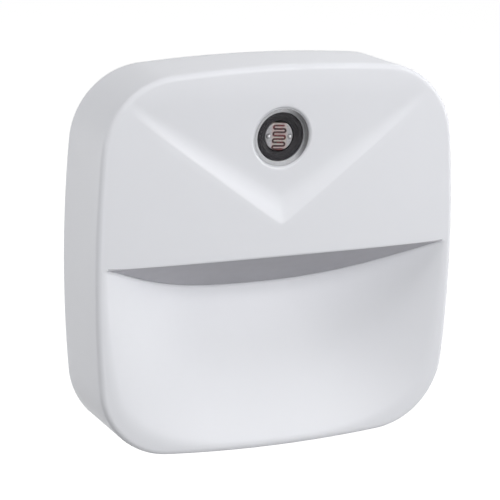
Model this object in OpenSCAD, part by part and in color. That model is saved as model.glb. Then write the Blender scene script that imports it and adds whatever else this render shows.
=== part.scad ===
// Plug in night light with a light sensor.
// A rounded square shell with a V shaped recess and a deep light scoop under a straight ledge.
// X runs across the light, Y from the front into the wall, Z up. The origin lies midway
// between the two plug blades on the face that meets the wall.

/* [Body] */
// width of the shell between its bowed sides
body_width = 65; // [60:0.5:72]
// height of the shell between its bowed top and bottom
body_height = 65.4; // [61:0.1:72]
// depth from the wall to the middle of the front
body_depth = 16.5; // [15.5:0.1:20]
// how far each side bows out
side_bow = 2.37; // [1.5:0.01:3]
// how far the top and the bottom bow out
top_bow = 2.14; // [1.5:0.01:3]
// radius of the four corners
corner_radius = 13.2; // [10:0.1:15]
// how far the front face falls away towards its edges
crown = 0.45; // [0.2:0.05:0.8]
// rounding between the front face and the sides
front_round = 1.1; // [0.6:0.1:1.4]
// chamfer along the rear edge of the shell
rear_chamfer = 0.4; // [0.2:0.1:0.6]
// wall of the front shell
wall = 1.5; // [1.2:0.05:1.7]
// wall of the rim that goes round the rear cover
rim_wall = 1.0; // [0.8:0.05:1.1]
// how far the rim stays behind the wall face
rim_setback = 0.1; // [0.05:0.05:0.3]

/* [Light scoop] */
// height of the ledge above the middle of the shell
ledge_height = 1.1; // [-1:0.1:2]
// drop from the ledge to the bottom of the valley
valley_drop = 7.84; // [6.5:0.01:9]
// space between the back of the scoop and the rear cover
scoop_clearance = 0.43; // [0.3:0.01:1]
// strip left between the scoop and the sides
scoop_margin = 1.94; // [1.5:0.01:3]
// strip left between the foot of the scoop and the bottom
scoop_foot = 1.19; // [1:0.01:3]
// how square the scoop is in plan
scoop_squareness = 2.42; // [2:0.01:3]
// how fast the scoop falls off at its two ends
scoop_falloff = 1.09; // [0.9:0.01:1.2]
// softness of the valley between the ledge's underside and the scoop
valley_round = 0.8; // [0.4:0.1:1.6]

/* [Light diffuser] */
// strip of shell between the ledge and the diffuser
lip_front = 0.5; // [0.5:0.1:1]
// strip of shell between the diffuser and the valley
lip_rear = 0.5; // [0.5:0.1:1]
// thickness of the flange inside the shell
flange = 0.8; // [0.6:0.1:1]
// how far the flange reaches past the opening's curved edge
flange_reach = 0.5; // [0.4:0.1:0.6]

/* [V recess] */
// height of its lowest point above the middle of the shell
flap_apex = 6.5; // [5.5:0.1:8]
// distance of its two upper corners from the top of the shell
flap_drop = 6.3; // [5.3:0.1:7.2]
// half the width between its two upper corners
flap_half_width = 26.5; // [25:0.1:28]
// depth at the lowest point
flap_depth = 1.7; // [1:0.1:2]
// steepness of its wall
flap_slope = 0.55; // [0.45:0.05:1]
// softness of the foot of its wall
flap_round = 0.8; // [0.4:0.1:1.2]

/* [Light sensor] */
// distance of the sensor from the top of the shell
sensor_drop = 11.5; // [10.7:0.1:12.2]
// diameter of the clear window
window_diameter = 10; // [9:0.1:11]
// thickness of the clear window
window_thickness = 0.5; // [0.5:0.1:1]
// depth of the cone that leads from the window's seat to the black tube
seat_slope = 0.3; // [0.2:0.05:0.4]
// rounding of the shell's edge round the window
window_round = 0.4; // [0.2:0.1:0.6]
// diameter of the black tube
tube_diameter = 8.2; // [7.8:0.1:8.4]
// wall of the black tube
tube_wall = 0.8; // [0.6:0.1:1]
// length of the narrow collar at the front of the tube
collar_length = 2.6; // [2.2:0.1:3]
// width of the photoresistor
cell_width = 5.1; // [4.8:0.05:5.3]
// height of the photoresistor between its two flats
cell_height = 4.4; // [4:0.05:4.6]
// thickness of the photoresistor
cell_thickness = 1.6; // [1.4:0.1:2]
// how far the photoresistor sits behind the mouth of the tube
cell_setback = 0.6; // [0.5:0.05:0.8]
// how far the photoresistor is turned in its tube, in degrees
cell_turn = 7; // [0:1:10]
// distance between the two leads of the photoresistor
cell_pitch = 3.9; // [3.4:0.1:4]
// width of the serpentine track's field
track_field = 2.25; // [2:0.05:2.4]
// distance between two runs of the track
track_pitch = 0.58; // [0.54:0.01:0.6]
// width of the track
track_width = 0.25; // [0.2:0.01:0.3]
// thickness of the track
track_thickness = 0.06; // [0.04:0.01:0.1]

/* [Plug] */
// height of the plug above the middle of the shell
plug_height = 9; // [8.5:0.1:10]
// distance between the middles of the two blades
blade_pitch = 12.7; // [12.5:0.1:12.9]
// width of a blade
blade_width = 6.35; // [6.2:0.01:6.5]
// thickness of a blade
blade_thickness = 1.5; // [1.4:0.01:1.6]
// length of a blade outside the wall face
blade_length = 16.5; // [15.9:0.1:18.2]
// diameter of the hole in a blade
blade_hole = 3.1; // [2.9:0.1:3.2]
// distance of that hole from the wall face
blade_hole_place = 11.7; // [11:0.1:12]
// chamfer at the tip of a blade
blade_tip = 1.3; // [1:0.1:1.6]
// bevel on both faces at the tip of a blade
blade_bevel = 0.5; // [0.3:0.1:0.6]
// height of the stop that keeps a blade in the cover
blade_stop = 1.5; // [1.2:0.1:2]
// how far the stop is wider than the blade on each side
blade_stop_reach = 1.1; // [0.8:0.1:1.4]
// width of the tail that goes through the board
tail_width = 2.4; // [2:0.1:3]

/* [Rear cover] */
// thickness of the rear cover
rear_thickness = 1.8; // [1.5:0.1:2]
// height of the block that carries the blades
block_height = 2.2; // [1.8:0.1:3]
// wall of that block round the blades
block_wall = 1.8; // [1.5:0.1:2.5]
// place of the snap hooks to each side of the middle
hook_place = 13; // [11:0.5:16]
// width of a snap hook
hook_width = 5; // [4:0.5:7]
// thickness of a snap hook
hook_thickness = 1.2; // [1:0.1:1.4]
// how far a catch stands out from the shell's wall
catch_reach = 0.6; // [0.5:0.05:0.8]
// thickness of a catch
catch_thickness = 1.0; // [0.8:0.1:1.4]
// distance from the rear cover to a catch
catch_place = 2.0; // [1.6:0.1:2.6]

/* [Boards] */
// thickness of the main board
board_thickness = 1.6; // [1.2:0.1:1.6]
// half the width of the main board
board_half_width = 26; // [25.5:0.5:27]
// height of the lower edge of the main board above the ledge
board_rise = 1.1; // [1:0.1:1.3]
// thickness of the light board
light_board_thickness = 1.0; // [0.8:0.1:1.2]
// half the length of the light board
light_board_half = 16; // [15.5:0.5:20]
// distance from the lower edge of the main board to the light board
light_board_rise = 1.2; // [1:0.1:1.6]
// number of LEDs
led_count = 4; // [3:1:5]
// distance between two LEDs
led_pitch = 8; // [6.5:0.5:8]
// width of an LED
led_width = 3.5; // [3:0.1:4]
// depth of an LED
led_depth = 2.8; // [2.6:0.1:3.2]
// height of an LED
led_height = 0.7; // [0.6:0.05:0.8]
// distance of the screws from the top edge of the main board
screw_drop = 4.3; // [4.1:0.1:4.6]
// distance of the screws from the side edges of the main board
screw_inset = 7; // [6.6:0.1:7.4]
// diameter of the screw posts
post_diameter = 4.6; // [4.2:0.1:5]
// diameter of a screw
screw_diameter = 2; // [1.8:0.1:2.2]
// length of a screw below its head
screw_length = 4.6; // [4:0.1:5]
// diameter of a screw head
screw_head = 3.8; // [3.5:0.1:4]

/* [Supply parts] */
// width of the film capacitor
film_width = 13; // [12:0.5:13.5]
// height of the film capacitor
film_height = 10.4; // [9:0.2:10.8]
// how far the film capacitor stands out from the board
film_thickness = 4.6; // [4:0.1:5]
// distance between the leads of the film capacitor
film_pitch = 10; // [9.5:0.5:10.5]
// diameter of the smoothing capacitor
can_diameter = 5; // [4.5:0.1:5.2]
// length of the smoothing capacitor
can_length = 10; // [8:0.5:11]
// distance between the leads of the smoothing capacitor
can_pitch = 2.5; // [2:0.1:3]
// length of the fusible resistor
fusible_length = 9; // [8:0.5:9.5]
// diameter of the fusible resistor
fusible_diameter = 3.2; // [2.8:0.1:3.4]
// distance between the leads of the fusible resistor
fusible_pitch = 12; // [11.5:0.5:12.5]
// length of the bleed resistor
bleed_length = 6.3; // [5.5:0.1:6.4]
// diameter of the bleed resistor
bleed_diameter = 2.3; // [2:0.1:2.4]
// distance between the leads of the bleed resistor
bleed_pitch = 8; // [7.8:0.1:8.2]
// length of the zener diode
zener_length = 5; // [4.4:0.1:5.6]
// diameter of the zener diode
zener_diameter = 2.6; // [2:0.1:2.8]
// distance between the leads of the zener diode
zener_pitch = 9.2; // [8:0.1:10]
// width of the bridge rectifier
bridge_width = 4.7; // [4.4:0.1:5]
// height of the bridge rectifier
bridge_height = 3.9; // [3.6:0.1:4.2]
// thickness of the bridge rectifier
bridge_thickness = 2.5; // [1.6:0.1:2.8]
// width of the transistor
transistor_width = 2.9; // [2.7:0.1:3.1]
// height of the transistor
transistor_height = 1.4; // [1.2:0.1:1.6]
// thickness of the transistor
transistor_thickness = 1.0; // [0.9:0.1:1.2]
// width of a chip resistor
chip_width = 2.0; // [1.6:0.1:2.2]
// height of a chip resistor
chip_height = 1.25; // [0.8:0.05:1.4]
// thickness of a chip resistor
chip_thickness = 0.5; // [0.4:0.05:0.6]
// distance between two chip resistors
chip_pitch = 2.9; // [2.7:0.1:3.2]
// diameter of a lead
lead_diameter = 0.5; // [0.4:0.05:0.6]
// least distance between a part and the edge of the board
edge_space = 1.5; // [1.2:0.1:1.8]

/* [Fits] */
// gap round a part that drops into its seat
fit_gap = 0.1; // [0.05:0.01:0.15]
// gap under a part that rests on its seat
seat_gap = 0.02; // [0.01:0.01:0.05]
// free space round a part that must not touch
free_gap = 0.5; // [0.3:0.05:0.8]

/* [Hidden] */
half_width = body_width / 2;
half_height = body_height / 2;
flap_top = half_height - flap_drop;
sensor_height = half_height - sensor_drop;

// the sides and the ends are arcs, joined by corner arcs that run on smoothly
side_radius = (half_height * half_height + side_bow * side_bow) / (2 * side_bow);
end_radius = (half_width * half_width + top_bow * top_bow) / (2 * top_bow);
side_centre = half_width - side_radius;
end_centre = half_height - end_radius;
centre_span = norm([side_centre, end_centre]);
reach_side = side_radius - corner_radius;
reach_end = end_radius - corner_radius;
along = (reach_side * reach_side - reach_end * reach_end + centre_span * centre_span)
      / (2 * centre_span);
across = sqrt(reach_side * reach_side - along * along);
corner = [side_centre + (-side_centre * along - end_centre * across) / centre_span,
          (end_centre * along - side_centre * across) / centre_span];
side_angle = atan2(corner[1], corner[0] - side_centre);
end_angle = atan2(corner[1] - end_centre, corner[0]);
side_turn = corner[1] + corner_radius * sin(side_angle);
end_turn = corner[1] + corner_radius * sin(end_angle);

// steps along a quarter of the outline
end_steps = 9;
corner_steps = 7;
side_steps = 4;
quarter_steps = end_steps + corner_steps + side_steps;
loop_steps = 4 * quarter_steps;

function on_arc(cx, cz, radius, angle) =
    [cx + radius * cos(angle), cz + radius * sin(angle), cos(angle), sin(angle)];

// points of the upper right quarter with their outward normals, from the top to the side
quarter = concat(
    [for (i = [0:end_steps])
        on_arc(0, end_centre, end_radius, 90 - (90 - end_angle) * i / end_steps)],
    [for (i = [1:corner_steps])
        on_arc(corner[0], corner[1], corner_radius,
               end_angle - (end_angle - side_angle) * i / corner_steps)],
    [for (i = [1:side_steps])
        on_arc(side_centre, 0, side_radius, side_angle * (1 - i / side_steps))]);

function quarter_x(i, inset) = quarter[i][0] - inset * quarter[i][2];
function quarter_z(i, inset) = quarter[i][1] - inset * quarter[i][3];

// the whole outline: along the bottom from left to right, then back along the top
function rim_column(k) = k <= 2 * quarter_steps ? k - quarter_steps : 3 * quarter_steps - k;
function rim_point(k, inset) =
    let (c = rim_column(k), side = k <= 2 * quarter_steps ? -1 : 1)
    [sign(c) * quarter_x(abs(c), inset), side * quarter_z(abs(c), inset)];
function outline(inset) = [for (k = [0:loop_steps - 1]) rim_point(k, inset)];

// half the width of the outline at a height
function half_width_at(z) =
    abs(z) <= side_turn ? side_centre + sqrt(side_radius * side_radius - z * z)
    : abs(z) <= end_turn
        ? corner[0] + sqrt(max(0, pow(corner_radius, 2) - pow(abs(z) - corner[1], 2)))
        : sqrt(max(0, pow(end_radius, 2) - pow(abs(z) - end_centre, 2)));

// the scoop: a flat underside that falls back from the ledge and a bowl that rises to meet it
scoop_wall = wall * 1.15;
valley_depth = body_depth - rear_thickness - scoop_wall - scoop_clearance;
scoop_bottom = -half_height + scoop_foot;
under_slope = valley_depth / valley_drop;
under_stretch = norm([1, under_slope]);
under_angle = atan(valley_drop / valley_depth);
under_span = norm([valley_depth, valley_drop]);
valley_share = valley_drop / (ledge_height - scoop_bottom);

function scoop_share(x, reach) =
    pow(max(0, 1 - pow(abs(x) / reach, scoop_squareness)), scoop_falloff);
function bowl(x, z) =
    let (reach = max(half_width_at(z) - scoop_margin, 1), share = scoop_share(x, reach))
    valley_depth * share / (1 - valley_share * share)
        * max(0, z - scoop_bottom) / (ledge_height - scoop_bottom);

// a surface that lies a wall further in is deeper by the wall over the cosine of its slope
probe = 0.05;
function bowl_stretch(x, z) =
    norm([1, (bowl(x + probe, z) - bowl(x - probe, z)) / (2 * probe),
             (bowl(x, z + probe) - bowl(x, z - probe)) / (2 * probe)]);

function soft_min(a, b, r) = min(a, b) - pow(max(r - abs(a - b), 0), 2) / (4 * r);

// the V recess: a wall along both lines and a floor that runs out level at the top
flap_rise = (flap_top - flap_apex) / flap_half_width;
flap_lean = norm([1, flap_rise]);
flap_stretch = norm([1, flap_slope]);
flap_fall = flap_depth / (flap_top - flap_apex);

function flap_line(x) = flap_apex + flap_rise * abs(x);
function recess(x, z, t) =
    max(t, soft_min(flap_slope * (z - flap_line(x)) / flap_lean + t * flap_stretch,
                    flap_fall * (flap_top - z) + t, flap_round));

crown_power = 2.5;
function crown_at(x, z) =
    crown * (pow(abs(x) / half_width, crown_power) + pow(abs(z) / half_height, crown_power));

// depth of the front behind its foremost point, for the outside (t = 0) and the inside (t = wall)
function front_depth(x, z, t) =
    max(crown_at(x, z) + recess(x, z, t),
        soft_min(under_slope * (ledge_height - z) + t * under_stretch,
                 bowl(x, z) + t * bowl_stretch(x, z), valley_round));

// heights at which a column of the front grid crosses its edges, from the bottom to the top
valley_band = 1.1;
least_step = 0.35;
edge_share = 0.04;

function ledge_line(x, t) =
    ledge_height + (t * (under_stretch - 1) - crown_at(x, ledge_height)) / under_slope;
function valley_line(x, t) =
    let (share = scoop_share(x, half_width - scoop_margin),
         rise = valley_depth * share / (1 - valley_share * share) / (ledge_height - scoop_bottom))
    (under_slope * ledge_height + rise * scoop_bottom
        + t * (under_stretch - norm([1, rise]))) / (under_slope + rise);
function flap_edge(x, t) = flap_line(x) - t * (flap_stretch - 1) / flap_slope * flap_lean;
function flap_foot(x, t) =
    flap_line(x) + flap_lean
        * (flap_fall * (flap_top - flap_line(x)) - t * (flap_stretch - 1))
        / (flap_slope + flap_fall * flap_lean);

function crossings(x, h, t) =
    let (ledge = ledge_line(x, t),
         valley = min(valley_line(x, t), ledge - 2 * least_step),
         over = valley + min(valley_band, (ledge - valley) / 2),
         edge = max(flap_edge(x, t), ledge + least_step),
         foot = max(flap_foot(x, t), edge + least_step),
         wish = [-h, valley - valley_band, valley, over, ledge, edge, foot,
                 foot + flap_round, h],
         last = len(wish) - 1)
    [for (i = [0:last])
        min(max(wish[i], -h + edge_share * h * i), h - edge_share * h * (last - i))];
crossing_steps = [9, 2, 2, 2, 2, 2, 2, 4];

function spread(marks, steps) = concat(
    [for (i = [0:len(steps) - 1]) for (j = [0:steps[i] - 1])
        marks[i] + (marks[i + 1] - marks[i]) * j / steps[i]],
    [marks[len(steps)]]);

// the front grid: columns from the left end, which is one point, to the right end, also a point
function front_column(c, inset, t) =
    let (x = sign(c) * quarter_x(abs(c), inset), h = quarter_z(abs(c), inset))
    [for (z = spread(crossings(x, h, t), crossing_steps))
        [x, front_depth(x, z, t) - body_depth, z]];
function front_end(side, inset, t) =
    let (x = side * quarter_x(quarter_steps, inset))
    [x, front_depth(x, 0, t) - body_depth, 0];
function front_grid(inset, t) = concat(
    [front_end(-1, inset, t)],
    [for (c = [1 - quarter_steps:quarter_steps - 1]) each front_column(c, inset, t)],
    [front_end(1, inset, t)]);

row_steps = 25;
grid_points = (2 * quarter_steps - 1) * (row_steps + 1) + 2;
function grid_id(c, j) =
    c == -quarter_steps ? 0
    : c == quarter_steps ? grid_points - 1
    : 1 + (c + quarter_steps - 1) * (row_steps + 1) + j;
function grid_rim(k) = grid_id(rim_column(k), k <= 2 * quarter_steps ? 0 : row_steps);

function cell_faces(a, b, c, d) = [if (a != b) [a, b, c], if (c != d) [a, c, d]];
function grid_faces(start, inside) = [
    for (c = [-quarter_steps:quarter_steps - 1]) for (j = [0:row_steps - 1])
        let (a = start + grid_id(c, j), b = start + grid_id(c, j + 1),
             d = start + grid_id(c + 1, j), e = start + grid_id(c + 1, j + 1))
        for (face = a == b ? [[a, e, d]] : d == e ? [[a, b, d]] : [[a, b, e], [a, e, d]])
            inside ? [face[0], face[2], face[1]] : face];

// rings from the edge of the front round the side and the rim to the inner wall
round_steps = 4;
rear_edge = -rim_setback;
rings = concat(
    [for (i = [1:round_steps])
        [front_round * (1 - sin(90 * i / round_steps)),
         front_round * (1 - cos(90 * i / round_steps)), true]],
    [[0, rear_edge - rear_chamfer, false],
     [rear_chamfer, rear_edge, false],
     [rim_wall, rear_edge, false],
     [rim_wall, -rear_thickness, false],
     [wall, -rear_thickness, false]]);

function ring_point(ring, k) =
    let (p = rim_point(k, ring[0]), q = rim_point(k, front_round))
    [p[0], ring[2] ? front_depth(q[0], q[1], 0) - body_depth + ring[1] : ring[1], p[1]];

ring_start = grid_points;
inner_start = ring_start + len(rings) * loop_steps;
function ring_id(r, k) =
    let (i = k % loop_steps)
    r == 0 ? grid_rim(i)
    : r <= len(rings) ? ring_start + (r - 1) * loop_steps + i
    : inner_start + grid_rim(i);

shell_points = concat(
    front_grid(front_round, 0),
    [for (ring = rings) for (k = [0:loop_steps - 1]) ring_point(ring, k)],
    front_grid(wall, wall));
shell_faces = concat(
    grid_faces(0, false),
    [for (r = [0:len(rings)]) for (k = [0:loop_steps - 1])
        for (face = [[ring_id(r, k), ring_id(r, k + 1), ring_id(r + 1, k + 1)],
                     [ring_id(r, k), ring_id(r + 1, k + 1), ring_id(r + 1, k)]]) face],
    grid_faces(inner_start, true));

// opening under the ledge, in the plane of the underside
lens_steps = 14;
lens_reach = half_width - scoop_margin;
function lens(front, rear) =
    let (share = pow((front + rear) / under_span, 1 / scoop_falloff),
         tip = lens_reach * pow(1 - share, 1 / scoop_squareness))
    [for (i = [-lens_steps:lens_steps])
        let (x = tip * sin(90 * i / lens_steps))
        [x, abs(i) == lens_steps ? front : under_span * scoop_share(x, lens_reach) - rear]];

// the flange starts where the underside's inner face leaves the inside of the front wall
flange_start = (crown + wall * (1 - sin(under_angle)) + fit_gap) / cos(under_angle);

// stack from the front face to the board, behind the sensor's window, which leans with the recess
window_face = front_depth(0, sensor_height, 0) - body_depth;
window_lean = atan((front_depth(0, sensor_height - probe, 0)
                    - front_depth(0, sensor_height + probe, 0)) / (2 * probe));
window_ledge = 0.1;
mouth_place = window_thickness + seat_gap + seat_slope;
tube_front = window_face + mouth_place;
tube_rise = tube_diameter * tan(window_lean);
cell_front = tube_front + cell_setback;
cell_back = cell_front + cell_thickness;
collar_diameter = cell_width + 2 * fit_gap;
boss_wall = 1.3;
boss_end = tube_front + collar_length;
boss_diameter = window_diameter + 2 * fit_gap + 2 * boss_wall;

// stack from the wall face to the boards
stop_back = -rear_thickness - block_height;
board_back = stop_back - seat_gap - blade_stop - seat_gap;
board_front = board_back - board_thickness;
part_base = board_front - seat_gap;
light_board_front = wall + crown + 2 * free_gap - body_depth;
lead_radius = lead_diameter / 2;
lead_stub = 1.0;
tail_end = board_front - lead_stub;
lead_end = board_back + lead_stub;
lead_hole = lead_radius + fit_gap;
solder_foot = 0.6;
solder_height = 0.7;

// edges of the main board and what is placed from them
hook_back = wall + catch_reach + fit_gap;
board_inset = hook_back + hook_thickness + free_gap;
board_bottom = ledge_height + board_rise;
board_top = half_height - board_inset;
post_place = board_half_width - screw_inset;
post_height = board_top - screw_drop;
light_board_low = board_bottom + light_board_rise;
tab_width = 3;
tab_place = light_board_half - tab_width - 2 * free_gap;

// middles of the supply parts: x from the side edge or the sensor's tube, z from the nearest edge
part_rise = 2.2 * edge_space;
film_middle = [edge_space + film_width / 2 - board_half_width,
               board_bottom + part_rise + film_height / 2];
fusible_middle = [2 * edge_space + fusible_pitch / 2 - board_half_width,
                  film_middle[1] + film_height / 2 + 1.4 * edge_space + fusible_diameter / 2];
bleed_middle = [-(post_place + tube_diameter / 2) / 2, board_top - edge_space - bleed_diameter / 2];
can_middle = [tube_diameter / 2 + 3.7 * edge_space, board_bottom + 1.2 * edge_space + can_diameter / 2];
bridge_middle = [board_half_width - 6 * edge_space - bridge_width / 2,
                 plug_height + 3.6 * edge_space + bridge_height / 2];
transistor_middle = [tube_diameter / 2 + 2 * edge_space + transistor_width / 2,
                     sensor_height - 0.9 * edge_space - transistor_height / 2];
chips_middle = [transistor_middle[0] + chip_pitch / 2, sensor_height + edge_space + chip_height / 2];
zener_middle = [board_half_width - 0.9 * edge_space - zener_diameter / 2,
                plug_height + 3.2 * edge_space];

// pairs of leads that go through the main board
function side_by_side(middle, pitch) = [middle - [pitch / 2, 0], middle + [pitch / 2, 0]];
function stacked(middle, pitch) = [middle - [0, pitch / 2], middle + [0, pitch / 2]];
film_pins = side_by_side(film_middle, film_pitch);
can_pins = stacked(can_middle, can_pitch);
fusible_pins = side_by_side(fusible_middle, fusible_pitch);
bleed_pins = side_by_side(bleed_middle, bleed_pitch);
zener_pins = stacked(zener_middle, zener_pitch);
cell_pins = [for (side = [-1, 1])
    [0, sensor_height] + side * cell_pitch / 2 * [cos(cell_turn), -sin(cell_turn)]];
all_pins = concat(film_pins, can_pins, fusible_pins, bleed_pins, zener_pins, cell_pins);

$fn = 48;

// the cone behind the window's seat, from the ledge it rests on into the tube's bore
module seat_cutter(wide, narrow) {
    seat = window_thickness + seat_gap;
    inner = narrow - 3 * fit_gap;
    end = seat + seat_slope * (wide - inner) / (wide - narrow);
    facing_wall() rotate_extrude()
        polygon([[0, seat / 2], [wide - fit_gap, seat / 2], [wide, seat], [inner, end], [0, end]]);
}

module in_frame() { translate([0, 0, -plug_height]) children(); }
// local +Z points into the wall, X stays across and Y turns down
module facing_wall() { rotate([-90, 0, 0]) children(); }
module plate(from, to) {
    translate([0, to, 0]) rotate([90, 0, 0]) linear_extrude(to - from) children();
}
module on_underside() {
    translate([0, -body_depth, ledge_height]) rotate([-under_angle, 0, 0]) children();
}
module at_window() {
    translate([0, window_face, sensor_height]) rotate([window_lean, 0, 0]) children();
}
// rounds off the edge of a bore whose mouth lies at 0
module edge_cutter(bore, round) {
    first = 10;
    facing_wall() rotate_extrude() polygon(concat(
        [[bore / 2, round], [bore / 2, -1], [bore + round * (1 - sin(first)), -1]],
        [for (a = [first:16:90]) [bore + round * (1 - sin(a)), round * (1 - cos(a))]]));
}
module at_end(x) {
    translate([0, 0, end_centre]) rotate([0, asin(x / end_radius), 0])
        translate([0, 0, end_radius]) children();
}
module at_hooks() {
    for (end = [0, 1], x = [-hook_place, hook_place]) mirror([0, 0, end]) at_end(x) children();
}
module rod(radius, from, to, x = 0, z = 0) {
    translate([x, from, z]) facing_wall() cylinder(r = radius, h = to - from);
}
module rounded(width, height, radius) {
    square([width - 2 * radius, height], center = true);
    square([width, height - 2 * radius], center = true);
    for (x = [-1, 1], y = [-1, 1])
        translate([x * (width / 2 - radius), y * (height / 2 - radius)]) circle(r = radius);
}

// ---- housing ----

module catch() {
    translate([-hook_width / 2 - free_gap, -rear_thickness - catch_place - catch_thickness,
               -wall - catch_reach])
        cube([hook_width + 2 * free_gap, catch_thickness, catch_reach + wall / 2]);
}

module front_cover() {
    color([0.96, 0.96, 0.97]) in_frame() difference() {
        union() {
            polyhedron(points = shell_points, faces = shell_faces, convexity = 8);
            rod(boss_diameter / 2, window_face + wall / 2, boss_end, 0, sensor_height);
            at_hooks() catch();
        }
        at_window() rod(window_diameter / 2 + fit_gap, -1, window_thickness + seat_gap);
        at_window() edge_cutter(window_diameter / 2 + fit_gap, window_round);
        at_window() seat_cutter(window_diameter / 2 - window_ledge, tube_diameter / 2 + fit_gap);
        rod(tube_diameter / 2 + fit_gap, -body_depth, boss_end + 1, 0, sensor_height);
        on_underside() translate([0, 0, -1]) linear_extrude(wall + 2)
            polygon(lens(lip_front, lip_rear));
    }
}

module hook() {
    barb = catch_reach;
    top = -rear_thickness - catch_place - catch_thickness - fit_gap;
    translate([-hook_width / 2, 0, 0]) rotate([90, 0, 90]) linear_extrude(hook_width)
        polygon([[-rear_thickness / 2, -hook_back - hook_thickness],
                 [-rear_thickness / 2, -hook_back],
                 [top, -hook_back],
                 [top, -hook_back + barb],
                 [top - barb / 2, -hook_back + barb],
                 [top - 2 * barb, -hook_back],
                 [top - 2 * barb, -hook_back - hook_thickness]]);
}

module rear_cover() {
    slot_half = blade_thickness / 2 + fit_gap;
    block = [blade_pitch + blade_thickness + 2 * block_wall,
             blade_width + 2 * blade_stop_reach + block_wall];
    block_round = 1;
    color([0.94, 0.94, 0.95]) in_frame() difference() {
        union() {
            plate(-rear_thickness, 0) polygon(outline(rim_wall + fit_gap));
            translate([0, 0, plug_height]) plate(stop_back, -rear_thickness / 2)
                rounded(block[0], block[1], block_round);
            for (x = [-post_place, post_place])
                rod(post_diameter / 2, board_back + seat_gap, -rear_thickness / 2, x, post_height);
            at_hooks() hook();
        }
        for (x = [-blade_pitch / 2, blade_pitch / 2])
            translate([x - slot_half, stop_back - 1, plug_height - blade_width / 2 - fit_gap])
                cube([2 * slot_half, -stop_back + 2, blade_width + 2 * fit_gap]);
        for (x = [-post_place, post_place])
            rod(screw_diameter / 2 + seat_gap, board_back - 1, -rear_thickness / 2, x, post_height);
    }
}

// a milky plate that fills the opening, with a flange behind the wall along its curved edge
module light_diffuser() {
    color([0.93, 0.94, 0.95]) in_frame() on_underside() {
        linear_extrude(wall + seat_gap + flange / 2)
            polygon(lens(lip_front + fit_gap, lip_rear + fit_gap));
        translate([0, 0, wall + seat_gap]) linear_extrude(flange)
            polygon(lens(flange_start, lip_rear - flange_reach));
    }
}

// ---- light sensor ----

module sensor_window() {
    radius = window_diameter / 2;
    edge = window_thickness / 4;
    color([0.85, 0.88, 0.9, 0.35]) in_frame() at_window() facing_wall() rotate_extrude()
        polygon([[0, 0], [radius - edge, 0], [radius, edge], [radius, window_thickness],
                 [0, window_thickness]]);
}

// a tube whose mouth is cut to the window's lean, with a funnel down to a collar round the cell
module sensor_tube() {
    radius = tube_diameter / 2;
    bore = radius - tube_wall;
    base = part_base - tube_front;
    color([0.05, 0.05, 0.06]) in_frame() difference() {
        translate([0, tube_front, sensor_height]) facing_wall() rotate_extrude()
            polygon([[collar_diameter / 2, cell_setback], [bore, cell_setback / 2],
                     [bore, -tube_rise], [radius, -tube_rise], [radius, base], [bore, base],
                     [bore, collar_length], [collar_diameter / 2, collar_length]]);
        at_window() translate([-tube_diameter, mouth_place - body_depth, -tube_diameter])
            cube([2 * tube_diameter, body_depth, 2 * tube_diameter]);
    }
}

module cell_outline() {
    intersection() {
        circle(d = cell_width);
        square([cell_width, cell_height], center = true);
    }
}

// the photoresistor sits slightly turned in its tube
module at_cell() {
    in_frame() translate([0, 0, sensor_height]) rotate([0, cell_turn, 0]) children();
}

module photoresistor_body() {
    color([0.72, 0.66, 0.65]) at_cell() difference() {
        plate(cell_front, cell_back) cell_outline();
        for (x = [-cell_pitch / 2, cell_pitch / 2])
            rod(lead_radius + seat_gap, cell_front - 1, cell_back + 1, x);
    }
}

// one unbroken line of straight runs and half turns
module photoresistor_track() {
    runs = floor((cell_height + track_pitch / 2) / track_pitch);
    straight = track_field / 2 - track_pitch / 2;
    color([0.42, 0.07, 0.08]) at_cell()
        plate(cell_front - seat_gap / 2 - track_thickness, cell_front - seat_gap / 2)
            for (i = [0:runs - 1]) translate([0, (i - (runs - 1) / 2) * track_pitch]) {
                square([2 * straight, track_width], center = true);
                if (i < runs - 1) mirror([(i + 1) % 2, 0]) translate([straight, track_pitch / 2])
                    difference() {
                        circle(d = track_pitch + track_width);
                        circle(d = track_pitch - track_width);
                        translate([-track_pitch - track_width, -track_pitch])
                            square([track_pitch + track_width, 2 * track_pitch]);
                    }
            }
}

module photoresistor_leads() {
    color([0.8, 0.8, 0.82]) at_cell() for (x = [-cell_pitch / 2, cell_pitch / 2])
        translate([x, 0, 0]) {
            rod(lead_radius, cell_front - seat_gap, lead_end);
            translate([0, cell_front - seat_gap, 0]) rotate([90, 0, 0]) intersection() {
                sphere(r = lead_radius);
                cylinder(r = lead_diameter, h = lead_diameter);
            }
        }
}

// ---- plug ----

module blade() {
    half = blade_width / 2;
    stop_half = half + blade_stop_reach;
    stop_front = board_back + seat_gap;
    translate([-blade_thickness / 2, 0, 0]) rotate([90, 0, 90]) difference() {
        linear_extrude(blade_thickness) difference() {
            polygon([[blade_length, -half + blade_tip], [blade_length, half - blade_tip],
                     [blade_length - blade_tip, half], [stop_back - seat_gap, half],
                     [stop_back - seat_gap, stop_half], [stop_front, stop_half],
                     [stop_front, tail_width / 2], [tail_end, tail_width / 2],
                     [tail_end, -tail_width / 2], [stop_front, -tail_width / 2],
                     [stop_front, -stop_half], [stop_back - seat_gap, -stop_half],
                     [stop_back - seat_gap, -half], [blade_length - blade_tip, -half]]);
            translate([blade_hole_place, 0]) circle(d = blade_hole);
        }
        for (side = [0, 1]) translate([blade_length, 0, side * blade_thickness])
            rotate([0, 45, 0])
                cube([blade_bevel, 2 * blade_width, blade_bevel] * sqrt(2), center = true);
    }
}

module blade_left() { color([0.83, 0.75, 0.5]) translate([-blade_pitch / 2, 0, 0]) blade(); }
module blade_right() { color([0.83, 0.75, 0.5]) translate([blade_pitch / 2, 0, 0]) blade(); }

// ---- boards ----

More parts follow.
